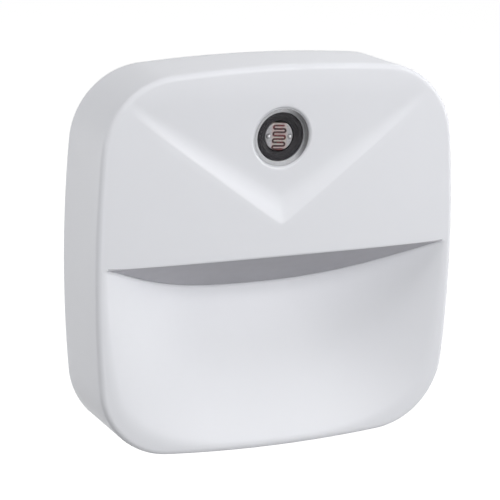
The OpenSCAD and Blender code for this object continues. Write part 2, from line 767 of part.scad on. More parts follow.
module main_board() {
    color([0.1, 0.35, 0.18]) in_frame() difference() {
        plate(board_front, board_back) intersection() {
            polygon(outline(board_inset));
            translate([-board_half_width, board_bottom])
                square([2 * board_half_width, body_height]);
        }
        for (pin = all_pins) rod(lead_hole, board_front - 1, board_back + 1, pin[0], pin[1]);
        for (x = [-post_place, post_place])
            rod(screw_diameter / 2 + fit_gap, board_front - 1, board_back + 1, x, post_height);
        for (x = [-blade_pitch / 2, blade_pitch / 2])
            translate([x - blade_thickness / 2 - fit_gap, board_front - 1,
                       plug_height - tail_width / 2 - fit_gap])
                cube([blade_thickness + 2 * fit_gap, board_thickness + 2, tail_width + 2 * fit_gap]);
        for (x = [-tab_place, tab_place])
            translate([x - tab_width / 2 - fit_gap, board_front - 1, light_board_low - fit_gap])
                cube([tab_width + 2 * fit_gap, board_thickness + 2,
                      light_board_thickness + 2 * fit_gap]);
    }
}

module board_screws() {
    head_height = screw_head / 3;
    cross = [screw_head * 0.6, screw_head / 8, head_height];
    color([0.75, 0.75, 0.77]) in_frame() for (x = [-post_place, post_place])
        translate([x, part_base, post_height]) facing_wall() difference() {
            union() {
                cylinder(d = screw_diameter, h = screw_length);
                translate([0, 0, -head_height])
                    cylinder(d1 = screw_head * 0.8, d2 = screw_head, h = head_height);
            }
            for (turn = [0, 90]) rotate(turn)
                translate([0, 0, -head_height]) cube(cross, center = true);
        }
}

module light_board() {
    color([0.93, 0.94, 0.92]) in_frame() translate([0, 0, light_board_low]) union() {
        translate([-light_board_half, light_board_front, 0])
            cube([2 * light_board_half, part_base - light_board_front, light_board_thickness]);
        for (x = [-tab_place, tab_place])
            translate([x - tab_width / 2, part_base - lead_stub, 0])
                cube([tab_width, lead_end + lead_stub - part_base, light_board_thickness]);
    }
}

// a package whose light comes out of a shallow cup on its lower face
module leds() {
    middle = (light_board_front + board_front) / 2;
    cup = led_depth * 0.85;
    color([0.95, 0.9, 0.6]) in_frame() for (i = [0:led_count - 1])
        translate([(i - (led_count - 1) / 2) * led_pitch, middle,
                   light_board_low - seat_gap - led_height])
            difference() {
                translate([-led_width / 2, -led_depth / 2, 0])
                    cube([led_width, led_depth, led_height]);
                translate([0, 0, -0.01]) cylinder(d1 = cup, d2 = cup * 0.85, h = led_height / 2);
            }
}

// ---- parts on the main board ----

module pin_leads(pins, from) {
    for (pin = pins) rod(lead_radius, from, lead_end, pin[0], pin[1]);
}

module film_capacitor() {
    corner_round = 0.8;
    color([0.85, 0.7, 0.1]) in_frame() {
        translate([film_middle[0], 0, film_middle[1]])
            plate(part_base - film_thickness, part_base)
                rounded(film_width, film_height, corner_round);
        pin_leads(film_pins, part_base - lead_stub);
    }
}

// a leaded can that lies on the board, its leads turned down at one end
module smoothing_capacitor() {
    radius = can_diameter / 2;
    bend = 1.6;
    edge = 0.3;
    color([0.12, 0.14, 0.2]) in_frame() {
        translate([can_middle[0] + bend, part_base - radius, can_middle[1]]) rotate([0, 90, 0])
            rotate_extrude() polygon([
                [0, 0], [radius - edge, 0], [radius, edge], [radius, 3 * edge],
                [radius - edge, 4 * edge], [radius, 5 * edge], [radius, can_length - edge],
                [radius - edge, can_length], [0, can_length]]);
        for (pin = can_pins) translate([pin[0], part_base - radius, pin[1]]) {
            sphere(r = lead_radius);
            rotate([0, 90, 0]) cylinder(r = lead_radius, h = bend + edge);
        }
        pin_leads(can_pins, part_base - radius);
    }
}

// a part with a lead at each end, lying on the board between two holes: end caps round a waist
module axial_part(pins, length, radius, waist) {
    span = norm(pins[1] - pins[0]);
    middle = (pins[0] + pins[1]) / 2;
    turn = atan2(pins[1][1] - pins[0][1], pins[1][0] - pins[0][0]);
    edge = radius / 5;
    cap = length / 6;
    half = [[0, length / 2], [radius - edge, length / 2], [radius, length / 2 - edge],
            [radius, length / 2 - cap], [waist, length / 2 - cap - edge]];
    translate([middle[0], part_base - radius, middle[1]]) rotate([0, 90 - turn, 0]) {
        rotate_extrude() polygon(concat(half, [for (i = [4:-1:0]) [half[i][0], -half[i][1]]]));
        translate([0, 0, -span / 2]) cylinder(r = lead_radius, h = span);
        for (side = [-1, 1]) translate([0, 0, side * span / 2]) sphere(r = lead_radius);
    }
    pin_leads(pins, part_base - radius);
}

module fusible_resistor() {
    color([0.3, 0.42, 0.45]) in_frame()
        axial_part(fusible_pins, fusible_length, fusible_diameter / 2, fusible_diameter * 0.44);
}
module bleed_resistor() {
    color([0.75, 0.62, 0.42]) in_frame()
        axial_part(bleed_pins, bleed_length, bleed_diameter / 2, bleed_diameter * 0.41);
}
module zener_diode() {
    color([0.15, 0.15, 0.16]) in_frame()
        axial_part(zener_pins, zener_length, zener_diameter / 2, zener_diameter * 0.49);
}

// a flat package with short legs on two sides; a leg's place is x and the side, -1 or 1
module package(middle, width, height, thickness, legs) {
    standoff = 0.1;
    leg = [0.6, 1.0, 2 * standoff];
    translate([middle[0], part_base, middle[1]]) rotate([90, 0, 0]) {
        translate([0, 0, standoff])
            linear_extrude(thickness - standoff) rounded(width, height, 2 * standoff);
        for (place = legs)
            translate([place[0], place[1] * (height + leg[1]) / 2 - place[1] * standoff, standoff])
                cube(leg, center = true);
    }
}

module bridge_rectifier() {
    leg = bridge_width * 0.28;
    color([0.1, 0.1, 0.11]) in_frame()
        package(bridge_middle, bridge_width, bridge_height, bridge_thickness,
                [for (x = [-leg, leg], side = [-1, 1]) [x, side]]);
}
module transistor() {
    leg = transistor_width / 3;
    color([0.1, 0.1, 0.11]) in_frame()
        package(transistor_middle, transistor_width, transistor_height, transistor_thickness,
                [[-leg, -1], [leg, -1], [0, 1]]);
}
module chip_resistors() {
    color([0.08, 0.08, 0.09]) in_frame() for (i = [-1:1])
        translate([chips_middle[0] + i * chip_pitch, 0, chips_middle[1]])
            plate(part_base - chip_thickness, part_base)
                square([chip_width, chip_height], center = true);
}

// a block that narrows along +Z from its foot to its top
module tapered(foot, top, height) {
    function side(i) = [[-foot[i] / 2, 0], [foot[i] / 2, 0], [top[i] / 2, height],
                        [-top[i] / 2, height]];
    intersection() {
        rotate([90, 0, 0]) linear_extrude(2 * foot[1], center = true) polygon(side(0));
        rotate([90, 0, 90]) linear_extrude(2 * foot[0], center = true) polygon(side(1));
    }
}

// a cone of solder round each lead behind the board, and a fillet round each blade's tail before it
module solder_joints() {
    inner = lead_radius + seat_gap;
    tail = [blade_thickness, tail_width] + 2 * seat_gap * [1, 1];
    color([0.7, 0.7, 0.72]) in_frame() {
        for (pin = all_pins) translate([pin[0], board_back + seat_gap, pin[1]]) facing_wall()
            rotate_extrude($fn = 24)
                polygon([[inner, 0], [inner + solder_foot, 0],
                         [inner + solder_foot / 3, 0.7 * solder_height], [inner, solder_height]]);
        for (x = [-blade_pitch / 2, blade_pitch / 2])
            translate([x, part_base, plug_height]) rotate([90, 0, 0]) difference() {
                tapered(tail + 2 * solder_foot * [1, 1], tail + solder_foot / 3 * [1, 1],
                        solder_height);
                cube([tail[0], tail[1], 3 * solder_height], center = true);
            }
    }
}

front_cover();
rear_cover();
light_diffuser();
sensor_window();
sensor_tube();
photoresistor_body();
photoresistor_track();
photoresistor_leads();
blade_left();
blade_right();
main_board();
board_screws();
light_board();
leds();
film_capacitor();
smoothing_capacitor();
fusible_resistor();
bleed_resistor();
bridge_rectifier();
zener_diode();
transistor();
chip_resistors();
solder_joints();
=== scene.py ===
"""Plug in night light with a light sensor: the finished look of every piece, over its solids.

All shapes are worked out in millimetres about the middle of the shell, with X across the light,
the depth behind the foremost point of the front, and Z up. place() makes them the frame's metres.
"""

import math
from types import SimpleNamespace

import bmesh
import bpy
import numpy as np
from mathutils import Matrix, Vector


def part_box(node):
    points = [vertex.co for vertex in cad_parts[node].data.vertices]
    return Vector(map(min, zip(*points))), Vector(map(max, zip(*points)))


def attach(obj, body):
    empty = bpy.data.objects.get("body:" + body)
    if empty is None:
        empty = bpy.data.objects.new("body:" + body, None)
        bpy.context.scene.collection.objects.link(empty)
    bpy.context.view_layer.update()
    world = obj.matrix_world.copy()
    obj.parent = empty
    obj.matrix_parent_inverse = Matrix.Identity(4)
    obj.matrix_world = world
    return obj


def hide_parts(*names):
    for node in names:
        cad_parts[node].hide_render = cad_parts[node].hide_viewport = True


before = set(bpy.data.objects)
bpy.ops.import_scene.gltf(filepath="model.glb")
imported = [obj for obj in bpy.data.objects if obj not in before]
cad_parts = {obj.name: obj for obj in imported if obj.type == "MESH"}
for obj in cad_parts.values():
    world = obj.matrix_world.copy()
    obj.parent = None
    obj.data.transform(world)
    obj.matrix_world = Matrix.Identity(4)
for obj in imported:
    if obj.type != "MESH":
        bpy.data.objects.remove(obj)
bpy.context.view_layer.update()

bl_info = {
    "name": "Plug in night light",
    "version": (1, 0, 0),
    "blender": (4, 5, 0),
    "location": "View3D > Sidebar > Night light",
    "description": "Builds a plug in night light with a light sensor and its studio",
    "category": "Object",
}

MM = 0.001

# Millimetres between pieces that pass beside each other, and between pieces that rest together.
GAP = 0.1
SEAT_GAP = 0.02

# Points that are closer than this, in metres, become one.
MERGE = 2e-7


# ---- sizes and colours that a user would change ----


def length(name, words, value):
    """A size that is given here in millimetres and kept in metres."""
    return bpy.props.FloatProperty(name=name, description=words, default=value * MM, min=0.0,
                                   subtype="DISTANCE", unit="LENGTH", precision=5)


def tint(name, words, value):
    """A colour with its default in scene linear values."""
    return bpy.props.FloatVectorProperty(
        name=name, description=words, subtype="COLOR", size=3, min=0.0, max=1.0, default=value
    )


class NightLightSizes(bpy.types.PropertyGroup):
    """Sizes of the shell with its V recess and its scoop, of the diffuser and of the sensor."""

    body_width: length("Width", "Width of the shell", 65.25)
    body_height: length("Height", "Height of the shell", 65.4)
    top_flare: length("Top flare", "How far the front's top edge stands over the rear's", 0.45)
    body_depth: length("Depth", "Depth from the wall to the middle of the front", 16.5)
    side_bow: length("Side bow", "How far each side bows out", 2.37)
    top_bow: length("Top bow", "How far the top and the bottom bow out", 2.14)
    corner_radius: length("Corner radius", "Radius of the four corners", 13.2)
    crown: length("Crown", "Fall of the front face towards its edges", 0.45)
    front_round: length("Front rounding", "Rounding between front and sides", 0.95)
    rear_round: length("Rear rounding", "Rounding along the rear edge", 0.15)
    wall: length("Wall", "Wall of the shell", 1.5)
    rim_wall: length("Rim wall", "Wall of the rim round the rear cover", 1.0)
    rear_thickness: length("Rear cover", "Thickness of the rear cover", 1.8)
    ledge_height: length("Ledge height", "Height of the ledge above the middle", 1.06)
    valley_drop: length("Valley drop", "Drop from the ledge to the valley", 7.84)
    scoop_clearance: length("Scoop clearance", "Space behind the scoop", 0.43)
    scoop_margin: length("Scoop margin", "Strip beside the scoop", 0.4)
    scoop_foot: length("Scoop foot", "Strip below the scoop", 0.4)
    valley_round: length("Valley softness", "Softness of the valley", 0.8)
    ledge_round: length("Ledge softness", "Softness of the ledge's edge", 0.3)
    flap_apex: length("V apex", "Height of the V recess's lowest point", 6.45)
    flap_top: length("V top", "Height of the V recess's upper corners", 28.5)
    flap_half_width: length("V half width", "Half the width of the V recess", 29.3)
    flap_bend: length("V bend", "Rounding of the V where both its arms meet", 0.5)
    flap_depth: length("V depth", "Depth of the V recess at its apex", 1.87)
    flap_round: length("V softness", "Softness of the foot of the V's wall", 0.85)
    lip_front: length("Front lip", "Shell between the ledge and the diffuser", 0.3)
    lip_rear: length("Rear lip", "Shell between the diffuser and the valley", 0.3)
    sensor_height: length("Sensor height", "Height of the sensor above the middle", 21.08)
    window_diameter: length("Window", "Diameter of the clear window", 9.8)
    window_thickness: length("Window thickness", "Thickness of the clear window", 0.36)
    seat_slope: length("Seat cone", "Depth of the cone behind the window's seat", 0.32)
    window_round: length("Window edge", "Rounding of the shell's edge round the window", 0.6)
    tube_diameter: length("Tube", "Diameter of the black tube", 8.2)
    cell_setback: length("Cell setback", "How far the cell sits behind the tube's mouth", 0.6)
    plug_height: length("Plug height", "Height of the plug above the middle", 9.0)


class NightLightColours(bpy.types.PropertyGroup):
    """Colours of the main finishes and of the floor."""

    shell: tint("Shell", "Moulded shell", (0.79, 0.80, 0.838))
    # The diffuser's grey is partly its own milky tone and partly painted shade of the ledge above
    # it.
    diffuser: tint("Diffuser", "Milky diffuser under the ledge", (0.412, 0.407, 0.442))
    tube: tint("Tube", "Tube round the photoresistor", (0.028, 0.026, 0.031))
    ceramic: tint("Ceramic", "Body of the photoresistor", (0.60, 0.59, 0.62))
    track: tint("Track", "Serpentine track", (0.06, 0.004, 0.006))
    blade: tint("Blade", "Plug blades", (0.78, 0.62, 0.32))
    board: tint("Board", "Solder mask of the main board", (0.02, 0.12, 0.04))
    floor: tint("Floor", "Floor and backdrop", (0.5, 0.5, 0.5))


def sizes():
    """The sizes in millimetres."""
    group = bpy.context.scene.night_light_sizes
    return SimpleNamespace(**{name: getattr(group, name) / MM for name in group.__annotations__})


def colours():
    """The colours, in scene linear values."""
    return bpy.context.scene.night_light_colours


# ---- the shape of the shell ----


class Shell:
    """The outline and the front of the shell as functions of the sizes."""

    # Powers m and n of the scoop's share across, and the depth of the wall behind it in walls.
    squareness = 2.62
    falloff = 1.4
    scoop_wall = 1.15

    # Slope of the V's wall, and rounding of its upper edge in millimetres.
    slope = 0.46
    line_round = 0.12

    # Powers of the crown and of the flare, and lift of the whole top in millimetres.
    crown_power = 2.5
    flare_power = 6
    top_lift = 0.12

    def __init__(self, s):
        self.s = s
        # The outline: arcs of the sides and ends, and a corner arc that touches both.
        self.hw, self.hh = s.body_width / 2, s.body_height / 2
        self.side_r = (self.hh**2 + s.side_bow**2) / (2 * s.side_bow)
        self.end_r = (self.hw**2 + s.top_bow**2) / (2 * s.top_bow)
        self.side_c, self.end_c = self.hw - self.side_r, self.hh - self.end_r
        ra, rb = self.side_r - s.corner_radius, self.end_r - s.corner_radius
        apart = math.hypot(self.side_c, self.end_c)
        along = (ra * ra - rb * rb + apart * apart) / (2 * apart)
        across = math.sqrt(ra * ra - along * along)
        self.corner = (
            self.side_c + (-self.side_c * along - self.end_c * across) / apart,
            (self.end_c * along - self.side_c * across) / apart,
        )
        self.side_a = math.atan2(self.corner[1], self.corner[0] - self.side_c)
        self.end_a = math.atan2(self.corner[1] - self.end_c, self.corner[0])
        self.side_turn = self.corner[1] + s.corner_radius * math.sin(self.side_a)
        self.end_turn = self.corner[1] + s.corner_radius * math.sin(self.end_a)
        # The scoop: depth of its valley, its foot, and the underside's slope, length and share of
        # the scoop's height.
        self.valley_depth = (s.body_depth - s.rear_thickness - s.wall * self.scoop_wall
                             - s.scoop_clearance)
        self.foot = -self.hh + s.scoop_foot
        self.under = self.valley_depth / s.valley_drop
        self.span = math.hypot(self.valley_depth, s.valley_drop)
        self.share = s.valley_drop / (s.ledge_height - self.foot)
        # The V recess: slopes of its lines and of its floor.
        self.rise = (s.flap_top - s.flap_apex) / s.flap_half_width
        self.lean = math.hypot(1, self.rise)
        self.fall = s.flap_depth / (s.flap_top - s.flap_apex)

    def quarter(self, end_steps, corner_steps, side_steps):
        """The upper right quarter of the outline from the top to the side: an end arc, a corner
        arc and a side arc that meet smoothly. Rows of x, z and the outward normal. The side's
        points crowd towards its middle, where the ledge ends."""
        crowding = 0.7

        def arc(cx, cz, r, a):
            """Points of a circle at the angles a, with their normals."""
            return np.stack([cx + r * np.cos(a), cz + r * np.sin(a), np.cos(a), np.sin(a)], 1)

        end = np.linspace(math.pi / 2, self.end_a, end_steps + 1)
        corner = np.linspace(self.end_a, self.side_a, corner_steps + 1)[1:]
        side = self.side_a * (1 - np.linspace(0, 1, side_steps + 1)[1:] ** crowding)
        return np.concatenate([
            arc(0, self.end_c, self.end_r, end),
            arc(*self.corner, self.s.corner_radius, corner),
            arc(self.side_c, 0, self.side_r, side),
        ])

    def half_width_at(self, z):
        """Half the outline's width at a height, from whichever arc the height falls on."""
        a = np.abs(z)
        side = self.side_c + np.sqrt(self.side_r**2 - np.minimum(a, self.hh) ** 2)
        corner = self.corner[0] + np.sqrt(
            np.maximum(0, self.s.corner_radius**2 - (a - self.corner[1]) ** 2))
        end = np.sqrt(np.maximum(0, self.end_r**2 - (a - self.end_c) ** 2))
        return np.where(a <= self.side_turn, side, np.where(a <= self.end_turn, corner, end))

    def scoop_share(self, x, reach):
        """(1 - |x / reach|^m)^n: how deep the scoop is at x, against its middle."""
        return np.maximum(0, 1 - np.abs(x / reach) ** self.squareness) ** self.falloff

    def bowl(self, x, z):
        """Depth of the scoop: d q / (1 - k q) times a ramp from 0 at its foot to 1 at the ledge,
        where d is the valley's depth, q the share across and k the underside's share."""
        share = self.scoop_share(x, np.maximum(self.half_width_at(z) - self.s.scoop_margin, 1))
        ramp = np.maximum(0, z - self.foot) / (self.s.ledge_height - self.foot)
        return self.valley_depth * share / (1 - self.share * share) * ramp

    def bowl_stretch(self, x, z):
        """sqrt(1 + slope^2) of the bowl, from differences over h to both sides."""
        h = 0.05
        gx = (self.bowl(x + h, z) - self.bowl(x - h, z)) / (2 * h)
        gz = (self.bowl(x, z + h) - self.bowl(x, z - h)) / (2 * h)
        return np.sqrt(1 + gx * gx + gz * gz)

    def crown_at(self, x, z):
        """Fall of the front face: crown * (|x / half width|^p + |z / half height|^p)."""
        return self.s.crown * (np.abs(x / self.hw) ** self.crown_power
                               + np.abs(z / self.hh) ** self.crown_power)

    def ledge_at(self, x):
        """Height at which the underside's slope would reach depth 0: as far above the ledge as
        keeps its edge with the crowned face level."""
        return self.s.ledge_height + self.crown_at(x, self.s.ledge_height) / self.under

    def arms(self, x):
        """Height of the V's lines: apex + rise (sqrt(x^2 + b^2) - b / 2), even slopes to both
        sides of a bend b."""
        bend = self.s.flap_bend
        return self.s.flap_apex + self.rise * (np.sqrt(x * x + bend * bend) - bend / 2)

    def recess(self, x, z, t):
        """The V recess: the lesser of a wall that sinks with the distance from both lines and of
        a floor that runs out level at the top, t further in."""
        s = self.s
        edge = (z - self.arms(x)) / self.lean
        wall = self.slope * edge + t * math.hypot(1, self.slope)
        floor = self.fall * (s.flap_top - z) + t
        return soft_max(t, soft_min(wall, floor, s.flap_round), 0.0 if t else self.line_round)

    def depth(self, x, z, t=0.0):
        """Depth of the front, or of its inside t behind it: the greater of the crowned face with
        its recess, and the lesser of the flat underside and the bowl."""
        s = self.s
        under = self.under * (self.ledge_at(x) - z) + t * math.hypot(1, self.under)
        bowl = self.bowl(x, z) + (t * self.bowl_stretch(x, z) if t else 0.0)
        return soft_max(self.crown_at(x, z) + self.recess(x, z, t),
                        soft_min(under, bowl, s.valley_round), 0.0 if t else s.ledge_round)

    def flared(self, points):
        """Points raised by (z / half height)^n (lift + flare (1 - depth / body depth)) above the
        middle: a little all over and more towards the front."""
        points = np.array(points, float)
        high = np.maximum(0, points[..., 2] / self.hh) ** self.flare_power
        ahead = 1 - points[..., 1] / self.s.body_depth
        points[..., 2] += high * (self.top_lift + self.s.top_flare * ahead)
        return points

    def valley_line(self, x):
        """Height where the flat underside meets the bowl: where both have the same depth."""
        s = self.s
        share = self.scoop_share(x, self.hw - s.scoop_margin)
        rise = self.valley_depth * share / (1 - self.share * share) / (s.ledge_height - self.foot)
        return (self.under * self.ledge_at(x) + rise * self.foot) / (self.under + rise)

    def lens(self, front, rear, steps):
        """The opening under the ledge in the underside's plane: x = tip sin a, its straight edge
        front, and its curved edge span q(x) - rear, which ends where it meets the straight one."""
        share = ((front + rear) / self.span) ** (1 / self.falloff)
        reach = self.hw - self.s.scoop_margin
        tip = reach * (1 - share) ** (1 / self.squareness)
        x = tip * np.sin(np.linspace(-math.pi / 2, math.pi / 2, steps + 1))
        curve = self.span * self.scoop_share(x, reach) - rear
        curve[[0, -1]] = front
        return x, np.full_like(x, front), curve


def soft_min(a, b, r):
    """The lesser of a and b with the crease between them rounded over a width r."""
    if r <= 0:
        return np.minimum(a, b)
    return np.minimum(a, b) - np.maximum(r - np.abs(a - b), 0) ** 2 / (4 * r)


def soft_max(a, b, r):
    """The greater of a and b with the crease between them rounded over a width r."""
    return -soft_min(-np.asarray(a, float), -np.asarray(b, float), r)


def spread(marks, steps):
    """Joins marks (rows of heights, one per column) by steps[i] equal steps each."""
    rows = [marks[i] + (marks[i + 1] - marks[i]) * j / n
            for i, n in enumerate(steps) for j in range(n)]
    return np.array(rows + [marks[-1]])


def front_grid(shell, quarter, inset, t, steps):
    """The front as a grid of heights by columns. A column crosses the scoop's foot, the valley,
    the ledge, both edges of the V and the top at the same rows, so every edge runs along a row.
    It lies inset from the outline and t behind the front."""
    s = shell.s
    # How far the rows beside the valley, the ledge and the V's lines are from them, and the least
    # share of a column between two of its marks.
    by_valley, by_ledge, by_line, least = 1.1, 0.22, 0.16, 0.03
    x = quarter[:, 0] - inset * quarter[:, 2]
    h = quarter[:, 1] - inset * quarter[:, 3]
    x = np.concatenate([-x[:0:-1], x])
    h = np.concatenate([h[:0:-1], h])
    h[[0, -1]] = 0
    under, lean = math.hypot(1, shell.under), math.hypot(1, shell.slope)
    # The ledge, the valley, the V's line and the foot of its wall, kept apart in this order.
    ledge = np.full_like(x, s.ledge_height + t * (under - 1) / shell.under)
    valley = np.minimum(shell.valley_line(x) + t * 0.3, ledge - 0.7)
    line = shell.arms(x)
    edge = np.maximum(line - t * (lean - 1) * shell.lean, ledge + 0.5)
    foot = np.maximum(line + shell.lean * (shell.fall * (s.flap_top - line) - t * (lean - 1))
                      / (shell.slope + shell.fall * shell.lean), edge + 0.3)
    wish = [-h, valley - by_valley, valley, np.minimum(valley + by_valley, (valley + ledge) / 2),
            ledge - by_ledge, ledge + by_ledge, edge - by_line, edge + by_line,
            foot - 0.05, foot + 0.8, h]
    last = len(wish) - 1
    marks = [np.minimum(np.maximum(w, -h + least * h * i), h - least * h * (last - i))
             for i, w in enumerate(wish)]
    z = spread(marks, steps)
    x = np.broadcast_to(x, z.shape)
    return np.stack([x, shell.depth(x, z, t), z], -1)


def outline_loop(quarter, inset):
    """The whole outline as a loop, drawn in by inset: along the bottom from the left end, then
    back along the top."""
    x = quarter[:, 0] - inset * quarter[:, 2]
    z = quarter[:, 1] - inset * quarter[:, 3]
    z[-1] = 0
    top = np.stack([x, z], 1)[:-1]
    bottom = np.stack([x, -z], 1)
    flip = np.array([-1.0, 1.0])
    return np.concatenate([(bottom * flip)[:0:-1], bottom, top[:0:-1], top * flip])


# ---- meshes ----


def place(points):
    """From x, depth and height in mm about the shell's middle to the frame's metres."""
    s = sizes()
    p = np.asarray(points, float)
    return np.stack([p[..., 0], p[..., 1] - s.body_depth, p[..., 2] - s.plug_height], -1) * MM


def grid_faces(rows, cols, wrap_cols=False, wrap_rows=False):
    """Corner numbers of the quads of a grid, with its last column or row joined to the first."""
    r = np.arange(rows if wrap_rows else rows - 1)
    c = np.arange(cols if wrap_cols else cols - 1)
    r, c = np.meshgrid(r, c, indexing="ij")
    r2, c2 = (r + 1) % rows, (c + 1) % cols
    return np.stack([r * cols + c, r * cols + c2, r2 * cols + c2, r2 * cols + c], -1).reshape(-1, 4)


def mesh_from(name, patches):
    """One mesh from patches, each a grid of points with its faces. Points that meet are merged,
    faces that have closed up are dropped, and the normals of the closed shape point outwards."""
    points, faces, start = [], [], 0
    for grid, quads in patches:
        flat = grid.reshape(-1, 3)
        points.append(flat)
        faces.append(quads + start)
        start += len(flat)
    mesh = bpy.data.meshes.new(name)
    mesh.from_pydata(np.concatenate(points).tolist(), [], np.concatenate(faces).tolist())
    work = bmesh.new()
    work.from_mesh(mesh)
    bmesh.ops.remove_doubles(work, verts=work.verts, dist=MERGE)
    bmesh.ops.dissolve_degenerate(work, edges=work.edges, dist=MERGE / 2)
    bmesh.ops.recalc_face_normals(work, faces=work.faces)
    work.to_mesh(mesh)
    work.free()
    return mesh


def piece(name, mesh, material, replaced):
    """Puts a mesh into the scene as a finished piece on the body."""
    obj = bpy.data.objects.new(name, mesh)
    bpy.context.scene.collection.objects.link(obj)
    mesh.materials.clear()
    mesh.materials.append(material)
    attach(obj, "root")
    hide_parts(*replaced)


def dress(node, material):
    """Gives a carried-over node its material."""
    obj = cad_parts[node]
    obj.data.materials.clear()
    obj.data.materials.append(material)


def shade(mesh, angle):
    """Smooth faces, with edges sharper than the angle kept crisp."""
    mesh.polygons.foreach_set("use_smooth", np.ones(len(mesh.polygons), bool))
    mesh.set_sharp_from_angle(angle=math.radians(angle))
    mesh.update()


def turned(profile, centre, segments, closed, lean=0.0):
    """A profile of radius and depth turned about a line along Y through a centre of x and z:
    each point (r, d) goes to (x + r cos a, d - f lean r sin a, z + r sin a), where f is the point's
    third value, 1 if left out: how far it follows the lean. A closed profile makes a ring."""
    profile = np.asarray(profile, float)
    a = np.linspace(0, 2 * math.pi, segments, endpoint=False)
    r, d = profile[:, :1], profile[:, 1:2]
    follow = profile[:, 2:] if profile.shape[1] > 2 else 1.0
    up = r * np.sin(a)
    grid = np.stack([centre[0] + r * np.cos(a), d - follow * lean * up, centre[1] + up], -1)
    return place(grid), grid_faces(len(profile), segments, True, closed)


def arc_profile(centre, radius, start, stop, steps):
    """Points of a profile's arc: centre + radius (cos a, sin a), with its angles in degrees."""
    a = np.radians(np.linspace(start, stop, steps + 1))
    return np.stack([centre[0] + radius * np.cos(a), centre[1] + radius * np.sin(a)], 1)


def rounding(r, steps):
    """A quarter round as pairs: how far it is drawn in, r (1 - sin a), and back, r (1 - cos a)."""
    return [(r * (1 - math.sin(a)), r * (1 - math.cos(a)))
            for a in np.linspace(0, math.pi / 2, steps + 1)]


def rear_of(node):
    """How far back a node's solid reaches, in mm behind the front."""
    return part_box(node)[1].y / MM + sizes().body_depth


def combine(operation, mesh, *others):
    """The mesh less the others (DIFFERENCE) or with them (UNION), by exact booleans that are
    applied at once."""
    solids = [bpy.data.objects.new("solid", shape) for shape in (mesh, *others)]
    for solid in solids:
        bpy.context.scene.collection.objects.link(solid)
    for other in solids[1:]:
        step = solids[0].modifiers.new(operation, "BOOLEAN")
        step.operation, step.solver, step.object = operation, "EXACT", other
    graph = bpy.context.evaluated_depsgraph_get()
    done = bpy.data.meshes.new_from_object(solids[0].evaluated_get(graph))
    for solid in solids:
        bpy.data.objects.remove(solid)
    return done


# ---- shapes and places that pieces share ----


def on_underside(shell, x, t, n):
    """From x, the distance t down the underside from the ledge and n into the shell to x, depth
    and height: the underside falls back by its depth and down by its drop over its length."""
    s = shell.s
    down, back = s.valley_drop / shell.span, shell.valley_depth / shell.span
    return np.stack([x, back * t + down * n, shell.ledge_at(x) - down * t + back * n], -1)


def slab(shell, x, front, curve, low, high, edge=0.0):
    """A closed plate in the underside's plane between a straight and a curved edge, from low to
    high along its normal. Its lower edge is rounded by edge, or by a share of half its width where
    that is less."""
    rows, most = 12, 0.6
    f = np.linspace(0, 1, rows + 1)[:, None]
    middle, half = (front + curve) / 2, (curve - front) / 2

    def face(n, inset):
        """The plate's face at the height n, drawn in by inset from both edges."""
        kept = half - np.minimum(inset, most * half)
        t = middle - kept + 2 * kept * f
        return place(on_underside(shell, np.broadcast_to(x, t.shape), t, np.full(t.shape, n)))

    def loop(n, inset):
        """The edge of that face, once round."""
        grid = face(n, inset)
        return np.concatenate([grid[0], grid[-1][::-1][1:-1]])

    levels = [(low + up, inset) for inset, up in rounding(edge, 3)] if edge else [(low, 0.0)]
    levels.append((high, 0.0))
    side = np.stack([loop(n, inset) for n, inset in levels])
    return [
        (face(low, edge), grid_faces(rows + 1, len(x))),
        (side, grid_faces(len(levels), side.shape[1], wrap_cols=True)),
        (face(high, 0.0), grid_faces(rows + 1, len(x))),
    ]


def sensor_stack(shell):
    """Depths of the window's face, the tube's mouth and the photoresistor's face, and how fast
    the recess's floor gets shallower upwards there."""
    s, h = shell.s, 0.5
    low, face, high = (float(shell.depth(np.array(0.0), np.array(s.sensor_height + d)))
                       for d in (-h, 0.0, h))
    mouth = face + s.window_thickness + SEAT_GAP + s.seat_slope
    return face, mouth, mouth + s.cell_setback, (low - high) / (2 * h)


# ---- shader maths ----


class Value:
    """A socket with arithmetic for numbers: each operator adds one Math node."""

    def __init__(self, paint, socket):
        self.paint, self.socket = paint, socket

    def _math(self, kind, *values):
        """One Math node on numbers or sockets."""
        return self.paint.node("ShaderNodeMath", {"operation": kind}, dict(enumerate(values))).out(0)

    def __add__(self, other):
        return self._math("ADD", self, other)

    def __radd__(self, other):
        return self._math("ADD", other, self)

    def __sub__(self, other):
        return self._math("SUBTRACT", self, other)

    def __rsub__(self, other):
        return self._math("SUBTRACT", other, self)

    def __mul__(self, other):
        return self._math("MULTIPLY", self, other)

    __rmul__ = __mul__

    def between(self, low, high):
        """0 below low, 1 above high and a smooth step between."""
        return self.paint.node(
            "ShaderNodeMapRange", {"interpolation_type": "SMOOTHSTEP"},
            {"Value": self, "From Min": low, "From Max": high}).out("Result")


class Node:
    """A node that was added, and its outputs by name or number."""

    def __init__(self, paint, node):
        self.paint, self.node = paint, node

    def out(self, key):
        return Value(self.paint, self.node.outputs[key])


